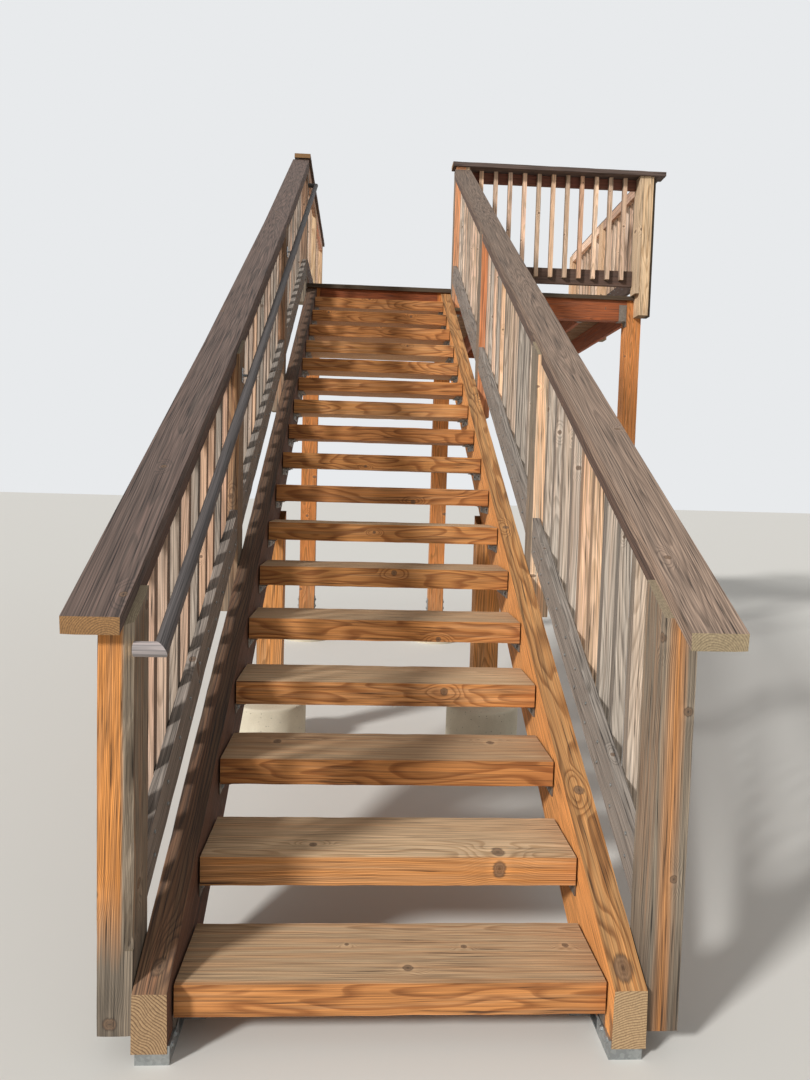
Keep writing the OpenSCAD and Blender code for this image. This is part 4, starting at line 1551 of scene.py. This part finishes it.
@dataclass
class GrabRail:
    """The round grab rail: a long bar mitred to its two returns."""

    radius: float = 0.019
    low_y: float = -28.0
    high_y: float = 5330.0
    height: float = 878.0
    rail_x: float = -585.0
    sides: int = 24
    step: float = 0.05
    worn: float = 0.02
    pith: tuple[float, float] = (0.05, 0.012)
    tone: float = 0.4
    hue: float = 0.3
    silver: tuple[float, float] = (0.75, 0.3)
    # painted highlight: the lower return is made far brighter than the bar
    return_highlight: float = 4.5

    def build(self, shop: Workshop) -> None:
        """Sweeps the three bars.

        Args:
            shop: the workshop.
        """
        low, high = ((y, nosing(y) + self.height) for y in (self.low_y, self.high_y))
        path = [at(-STRINGER_FACE, *low), at(self.rail_x, *low), at(self.rail_x, *high),
                at(-STRINGER_FACE, *high)]
        joined = bmesh.new()
        layers = timber_layers(joined)
        ways = [(path[i + 1] - path[i]).normalized() for i in range(3)]
        planes = [ways[0], ways[0] + ways[1], ways[1] + ways[2], ways[2]]
        for i in range(3):
            self._bar(joined, layers, path[i : i + 2], planes[i : i + 2], i)
        shop.place(finished(joined, "grab_rail_round_bars", sharp=40), ROUND, "grab_rail")

    def _bar(self, joined: BMesh, layers: Layers, ends: list[Vector], planes: list[Vector],
             number: int) -> None:
        """Adds one round bar, cut at each end by a plane.

        Args:
            joined: the mesh that collects the bars.
            layers: its attribute layers.
            ends: the bar's two ends.
            planes: the directions of the cuts there.
            number: the bar's number along the rail.
        """
        way = (ends[1] - ends[0]).normalized()
        side = way.cross(Vector((0, 0, 1))).normalized()
        up = side.cross(way)
        length = (ends[1] - ends[0]).length
        count = max(2, round(length / self.step))
        rings = []
        for k in range(count + 1):
            ring = []
            for s in range(self.sides):
                turn = math.tau * s / self.sides
                uneven = abs(noise.noise(Vector((k * 0.4, s * 0.3, number * 9.0))))
                spoke = side * math.cos(turn) + up * math.sin(turn)
                spoke = spoke * (self.radius * (1 - self.worn * uneven))
                place = ends[0] + way * (length * k / count) + spoke
                if k in (0, count):
                    plane, end = planes[k // count], ends[k // count]
                    place -= way * ((place - end).dot(plane) / way.dot(plane))
                vert = joined.verts.new(place)
                vert[layers["grain"]] = Vector(
                    (length * k / count + 7 * number, spoke.dot(side) + self.pith[0],
                     spoke.dot(up) + self.pith[1]))
                vert[layers["tone"]] = self.tone
                vert[layers["hue"]] = self.hue
                ring.append(vert)
            rings.append(ring)
        faces = [joined.faces.new(list(reversed(rings[0]))), joined.faces.new(rings[-1])]
        for face in faces + walled(joined, rings):
            face.normal_update()
            for loop in face.loops:
                loop[layers["knot"]], loop[layers["branch"]] = NO_KNOT
                loop[layers["weather"]] = self.silver[0] + self.silver[1] * face.normal.z
                # painted highlight on the lower return
                loop[layers["stain"]] = self.return_highlight if number == 0 else 1.0
                loop[layers["end_grain"]] = 1.0 if len(face.verts) > 4 else 0.0


@dataclass
class GrabBrackets:
    """The grab rail's brackets: a wall plate, a bent arm and a saddle."""

    arm: float = 0.006
    bend: float = 0.03
    plate: Triple = (0.0025, 0.019, 0.032)
    saddle: Triple = (0.011, 0.022, 0.0015)
    saddle_in: float = 0.010
    saddle_down: float = 0.002
    screws: tuple[float, ...] = (-0.021, 0.021)
    sides: int = 12

    def build(self, shop: Workshop) -> None:
        """Bends the brackets.

        Args:
            shop: the workshop.
        """
        joined = bmesh.new()
        for low, high in boxes_of(shop.nodes["grab_rail_brackets"]):
            y = (low.y + high.y) / 2
            root = Vector((low.x, y, low.z + self.plate[2]))
            top = Vector((high.x - self.saddle_in, y, high.z - self.saddle_down))
            self._block(joined, root + Vector((self.plate[0], 0, 0)), self.plate, 0.0)
            self._block(joined, top, self.saddle, SLOPE)
            start = top.x - self.bend
            path = [root + Vector((0.002, 0, 0)), Vector((start, y, root.z))]
            path += [Vector((start + self.bend * math.sin(t), y,
                             root.z + self.bend * (1 - math.cos(t))))
                     for t in (0.3, 0.6, 0.9, 1.2, math.pi / 2)]
            self._arm(joined, path + [top])
            for dz in self.screws:
                shop.drive(Head.SCREW, root + Vector((2 * self.plate[0], 0, dz)), (1, 0, 0))
        shop.place(finished(joined, "grab_rail_bent_brackets"), PlatedSteel(),
                   "grab_rail_brackets")

    @staticmethod
    def _block(joined: BMesh, centre: Vector, half: Triple, tilt: float) -> None:
        """Adds a plate with rounded edges.

        Args:
            joined: the mesh that collects the brackets.
            centre: the plate's middle.
            half: its half sizes.
            tilt: its turn about X, in radians.
        """
        turn = Matrix.Translation(centre) @ Matrix.Rotation(tilt, 4, "X")
        size = Matrix.Diagonal((2 * half[0], 2 * half[1], 2 * half[2], 1.0))
        made = bmesh.ops.create_cube(joined, size=1.0, matrix=turn @ size)
        edges = {e for v in made["verts"] for e in v.link_edges}
        bmesh.ops.bevel(joined, geom=list(edges), offset=min(half) * 0.5, segments=2, profile=0.5,
                        affect="EDGES")

    def _arm(self, joined: BMesh, path: list[Vector]) -> None:
        """Adds a round bar along a path that stays in one plane.

        Args:
            joined: the mesh that collects the brackets.
            path: the bar's middle line.
        """
        side = Vector((0, 1, 0))
        rings = []
        for k, place in enumerate(path):
            way = (path[min(k + 1, len(path) - 1)] - path[max(k - 1, 0)]).normalized()
            up = way.cross(side)
            turns = [math.tau * s / self.sides for s in range(self.sides)]
            spokes = [side * math.cos(t) + up * math.sin(t) for t in turns]
            rings.append([joined.verts.new(place + spoke * self.arm) for spoke in spokes])
        faces = [joined.faces.new(rings[0]), joined.faces.new(list(reversed(rings[-1])))]
        walls = walled(joined, rings)
        for face in walls:
            face.smooth = True
        bmesh.ops.recalc_face_normals(joined, faces=faces + walls)


@dataclass
class Supports:
    """The heavy posts on their piers, with steel bases between.

    Shades holds the tone and the hue of each post, in the order of its place.
    """

    radius: float = 0.203
    height: float = 0.230
    edge: float = 0.014
    sides: int = 72
    rows: int = 8
    row_start: float = 0.02
    row_step: float = 0.024
    rings_in: tuple[float, ...] = (0.8, 0.5, 0.2)
    uneven: float = 0.0022
    rough: float = 0.0012
    places: tuple[tuple[float, float], ...] = (
        (-600, 2470), (600, 2470), (-600, 5459), (600, 5459), (2353, 5459))
    shades: tuple[tuple[float, float], ...] = (
        (0.9, 0.0), (0.9, 0.0), (0.2, 0.8), (0.2, 0.8), (0.7, 0.8))
    base_out: float = 76
    base_bolts: tuple[float, ...] = (305, 365)

    def build(self, shop: Workshop) -> None:
        """Builds posts, bases and piers.

        Args:
            shop: the workshop.
        """
        damp = Weather(front=0.12, back=0.3, inner=0.2, outer=0.3, foot=0.4, reach=0.5, chance=0.2)
        known = {k: (*shade, 0.02, 0.01) for k, shade in enumerate(self.shades)}
        Timbers("support_posts", GrainRun.UP, SUPPORT, damp, knot_gap=0.6, known=known).build(shop)
        shop.coat("steel_bases", ZINC)
        joined = bmesh.new()
        for number, (x, y) in enumerate(self.places):
            self._pier(joined, at(x, y, 0), number)
            for s in (-1, 1):
                for z in self.base_bolts:
                    shop.drive(Head.BOLT, at(x + s * self.base_out, y, z), (s, 0, 0))
        shop.place(finished(joined, "concrete_piers_cast", sharp=50), CastConcrete(),
                   "concrete_piers")

    def _pier(self, joined: BMesh, foot: Vector, number: int) -> None:
        """Adds one pier with a struck, rounded top, a little uneven all round.

        Args:
            joined: the mesh that collects the piers.
            foot: the middle of its foot.
            number: its number, for its own unevenness.
        """
        e = self.edge
        rows = [(self.radius, 0.0)]
        rows += [(self.radius, self.row_start + self.row_step * k) for k in range(self.rows)]
        rows += [(self.radius - e * (1 - math.cos(t)), self.height - e * (1 - math.sin(t)))
                 for t in (0.0, 0.5, 1.0, math.pi / 2)]
        rows += [(self.radius * share, self.height) for share in self.rings_in]
        rings = []
        for radius, z in rows:
            ring = []
            for s in range(self.sides):
                turn = math.tau * s / self.sides
                way = (math.cos(turn), math.sin(turn))
                spot = Vector((*way, z * 5 + number * 7.0))
                r = (radius - self.uneven * abs(noise.noise(spot * 2.5))
                     - self.rough * abs(noise.noise(spot * 9)))
                ring.append(joined.verts.new(foot + Vector((way[0] * r, way[1] * r, z))))
            rings.append(ring)
        joined.faces.new(list(reversed(rings[0])))
        joined.faces.new(rings[-1])
        walled(joined, rings)


@dataclass
class Landing:
    """The landing: boards on joists, rims and a ledger, with their hangers.

    The joists' stirrups are wider and taller than the least sizes, and the
    beams' angle seats aren't.
    """

    rims: tuple[float, ...] = (-630, 2326)
    board_screw: float = 0.028
    ledger_y: float = 7787
    ledger_lags: tuple[float, ...] = (
        -500, -330, 0, 330, 450, 760, 900, 1240, 1340, 1620, 1740, 2060, 2220)
    lag_rows: tuple[float, ...] = (3060, 3160)
    hanger_nails: tuple[float, ...] = (0.022, 0.057, 0.092, 0.127)
    cheek_nails: tuple[float, ...] = (0.037, 0.082)
    flange_out: tuple[float, float] = (0.036, 0.003)
    cheek_out: tuple[float, float] = (0.022, 0.03)
    least_width: float = 0.08
    least_height: float = 0.1
    middle_y: float = 7000

    def build(self, shop: Workshop) -> None:
        """Builds the landing.

        Args:
            shop: the workshop.
        """
        dry = Weather(front=0.1, back=0.2, top=0.3, under=0.1, inner=0.15, outer=0.35)
        for node, run in (("deck_rim", GrainRun.LONGEST), ("deck_joists", GrainRun.BACK),
                          ("deck_ledger", GrainRun.ACROSS)):
            Timbers(node, run, SHELTERED, dry, step=0.16).build(shop)
        DeckBoards("deck_boards", GrainRun.ACROSS, TREAD, Weather(front=1.0, top=0.95, under=0.2),
                   step=0.16, pith_z=(0.06, 0.12), knot_gap=0.8).build(shop)
        shop.coat("joist_hangers", STAINED_ZINC)
        self._fasten(shop)

    def _fasten(self, shop: Workshop) -> None:
        """Screws the boards down, bolts the ledger and nails the hangers.

        Args:
            shop: the workshop.
        """
        lines = [(low.x + high.x) / 2 for low, high in boxes_of(shop.nodes["deck_joists"])]
        lines += [at(x, 0, 0).x for x in self.rims]
        for low, high in boxes_of(shop.nodes["deck_boards"]):
            for x in lines:
                for y in (low.y + self.board_screw, high.y - self.board_screw):
                    shop.drive(Head.SCREW, Vector((x, y, high.z)), (0, 0, 1))
        for n, x in enumerate(self.ledger_lags):
            shop.drive(Head.LAG, at(x, self.ledger_y, self.lag_rows[n % 2]), (0, -1, 0))
        for low, high in boxes_of(shop.nodes["joist_hangers"]):
            if high.z - low.z < self.least_height or high.x - low.x < self.least_width:
                continue
            s = -1 if low.y > at(0, self.middle_y, 0).y else 1
            x, y = (low.x + high.x) / 2, low.y if s > 0 else high.y
            for side in (-1, 1):
                for z in self.hanger_nails:
                    flange = Vector((x + side * self.flange_out[0], y + s * self.flange_out[1],
                                     low.z + z))
                    shop.drive(Head.NAIL, flange, (0, s, 0))
                for z in self.cheek_nails:
                    cheek = Vector((x + side * self.cheek_out[0], y + s * self.cheek_out[1],
                                    low.z + z))
                    shop.drive(Head.NAIL, cheek, (side, 0, 0))


@dataclass
class Guard:
    """The landing's guard: posts, caps, rails and balusters."""

    right: float = 2434
    bolts_y: tuple[float, ...] = (6537, 7755)
    bolts_z: tuple[float, ...] = (3090, 3165)
    screw_rise: tuple[float, ...] = (0.025, 0.070)

    def build(self, shop: Workshop) -> None:
        """Builds the guard.

        Args:
            shop: the workshop.
        """
        pale = Weather(front=0.45, back=0.5, inner=0.45, outer=0.6, chance=0.5)
        Timbers("deck_guard_posts", GrainRun.UP, GUARD_POST,
                Weather(front=0.3, back=0.5, inner=0.4, outer=0.6, chance=0.2), cuts=(-0.5, 0.5),
                knot_gap=0.5).build(shop)
        PostBoards("guard_post_boards", GrainRun.UP, POST_BOARD, pale,
                   cuts=(-0.5, 0.5)).build(shop)
        Timbers("deck_caps", GrainRun.LONGEST, DARK_CAP, Weather(top=0.7, front=0.5), ease=0.005,
                pith_z=(0.07, 0.1)).build(shop)
        # the front sub-rail (number 0) is darkened with painted shade under the cap
        Timbers("deck_subrails", GrainRun.LONGEST, GUARD_RAIL, Weather(front=0.1, inner=0.35),
                known={0: (0.0, 1.0, 0.01, 0.08)}).build(shop)
        Timbers("deck_bottom_rails", GrainRun.LONGEST, GUARD_BOTTOM, pale,
                pith_z=(0.08, 0.14)).build(shop)
        for node in ("deck_balusters_front", "deck_balusters_sides"):
            Balusters(node, GrainRun.UP, GUARD, pale, ease=0.002, wear=0.001, step=0.15,
                      knot_gap=1.1, knot_radius=(0.004, 0.01)).build(shop)
        self._fasten(shop)

    def _fasten(self, shop: Workshop) -> None:
        """Screws the balusters through the bottom rails and bolts the posts.

        Args:
            shop: the workshop.
        """
        for low, high in boxes_of(shop.nodes["deck_balusters_front"]):
            for rise in self.screw_rise:
                place = Vector(((low.x + high.x) / 2, high.y + RAIL_THICKNESS, low.z + rise))
                shop.drive(Head.SCREW, place, (0, 1, 0))
        shop.screw_balusters("deck_balusters_sides", self.screw_rise)
        for x, s in ((-POST_FACE, -1), (self.right, 1)):
            for y in self.bolts_y:
                for z in self.bolts_z:
                    shop.drive(Head.BOLT, at(x, y, z), (s, 0, 0))


@dataclass(frozen=True)
class PhotoCamera:
    """The camera that stands where the photograph was taken."""

    place: Triple = (-0.9713, -5.7940, 1.4534)
    pitch: float = -3.951
    roll: float = -1.602
    yaw: float = -3.185
    lens: float = 26.497
    sensor: float = 36.0
    far: float = 200.0

    def build(self) -> None:
        """Makes the camera and sets it as the scene's."""
        data = bpy.data.cameras.new("photo_camera")
        data.sensor_fit = "VERTICAL"
        data.sensor_height = self.sensor
        data.lens = self.lens
        data.clip_end = self.far
        camera = bpy.data.objects.new("photo_camera", data)
        turn = (
            Euler((0, 0, math.radians(self.yaw))).to_matrix()
            @ Euler((math.radians(self.pitch), 0, 0)).to_matrix()
            @ Euler((0, math.radians(self.roll), 0)).to_matrix()
            @ Euler((math.radians(90), 0, 0)).to_matrix()
        )
        camera.matrix_world = turn.to_4x4()
        camera.location = Vector(self.place)
        bpy.context.scene.collection.objects.link(camera)
        bpy.context.scene.camera = camera


@dataclass(frozen=True)
class Studio:
    """A plain pale floor under plain soft light, brightest from the left."""

    floor: str = "#D8D5CE"
    floor_rough: float = 0.9
    sky: str = "#E8EAEC"
    fill: float = 0.43
    key: float = 3.25
    softness: float = 8.0
    key_way: Triple = (1.0, 0.85, -0.74)
    reach: float = 60.0

    def build(self) -> None:
        """Makes the floor, the world and the key light."""
        world = bpy.data.worlds.new("studio")
        bpy.context.scene.world = world
        world.use_nodes = True
        tree = world.node_tree
        tree.nodes.clear()
        rays = add(tree, "ShaderNodeLightPath").outputs
        light = add(tree, "ShaderNodeBackground", {0: (1, 1, 1, 1), 1: self.fill})
        seen = add(tree, "ShaderNodeBackground", {0: linear(self.sky), 1: 1.0})
        shown = rays["Is Camera Ray"]
        for name in ("Is Glossy Ray", "Is Transmission Ray"):
            shown = add(tree, "ShaderNodeMath", {0: shown, 1: rays[name]}, operation="MAXIMUM")
        either = add(tree, "ShaderNodeMixShader", {0: shown, 1: light, 2: seen})
        add(tree, "ShaderNodeOutputWorld", {0: either})
        lamp = bpy.data.lights.new("soft_key", "SUN")
        lamp.energy = self.key
        lamp.angle = math.radians(self.softness)
        key = bpy.data.objects.new("soft_key", lamp)
        key.rotation_euler = Vector(self.key_way).to_track_quat("-Z", "Y").to_euler()
        bpy.context.scene.collection.objects.link(key)
        mesh = bpy.data.meshes.new("pale_floor")
        r = self.reach
        mesh.from_pydata([(-r, -r, 0), (r, -r, 0), (r, r, 0), (-r, r, 0)], [], [(0, 1, 2, 3)])
        material = bpy.data.materials.new("pale_floor_paint")
        material.use_nodes = True
        shader = material.node_tree.nodes["Principled BSDF"]
        shader.inputs["Base Color"].default_value = linear(self.floor)
        shader.inputs["Roughness"].default_value = self.floor_rough
        mesh.materials.append(material)
        floor = bpy.data.objects.new("pale_floor", mesh)
        bpy.context.scene.collection.objects.link(floor)
        bpy.context.scene.view_settings.view_transform = "Standard"


def main() -> None:
    """Builds every sub-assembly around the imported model, in order."""
    logging.basicConfig(level=logging.INFO, format="%(message)s")
    shop = Workshop(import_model()["nodes"])
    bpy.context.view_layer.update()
    PhotoCamera().build()
    Studio().build()
    for part in (Flight(), SideRail("left"), SideRail("right"), RailBoards(), GrabRail(),
                 GrabBrackets(), Supports(), Landing(), Guard()):
        part.build(shop)
    for kind in shop.boxes.values():
        shop.place(kind.build(shop.finish(ZINC)), ZINC)


if __name__ == "__main__":
    main()
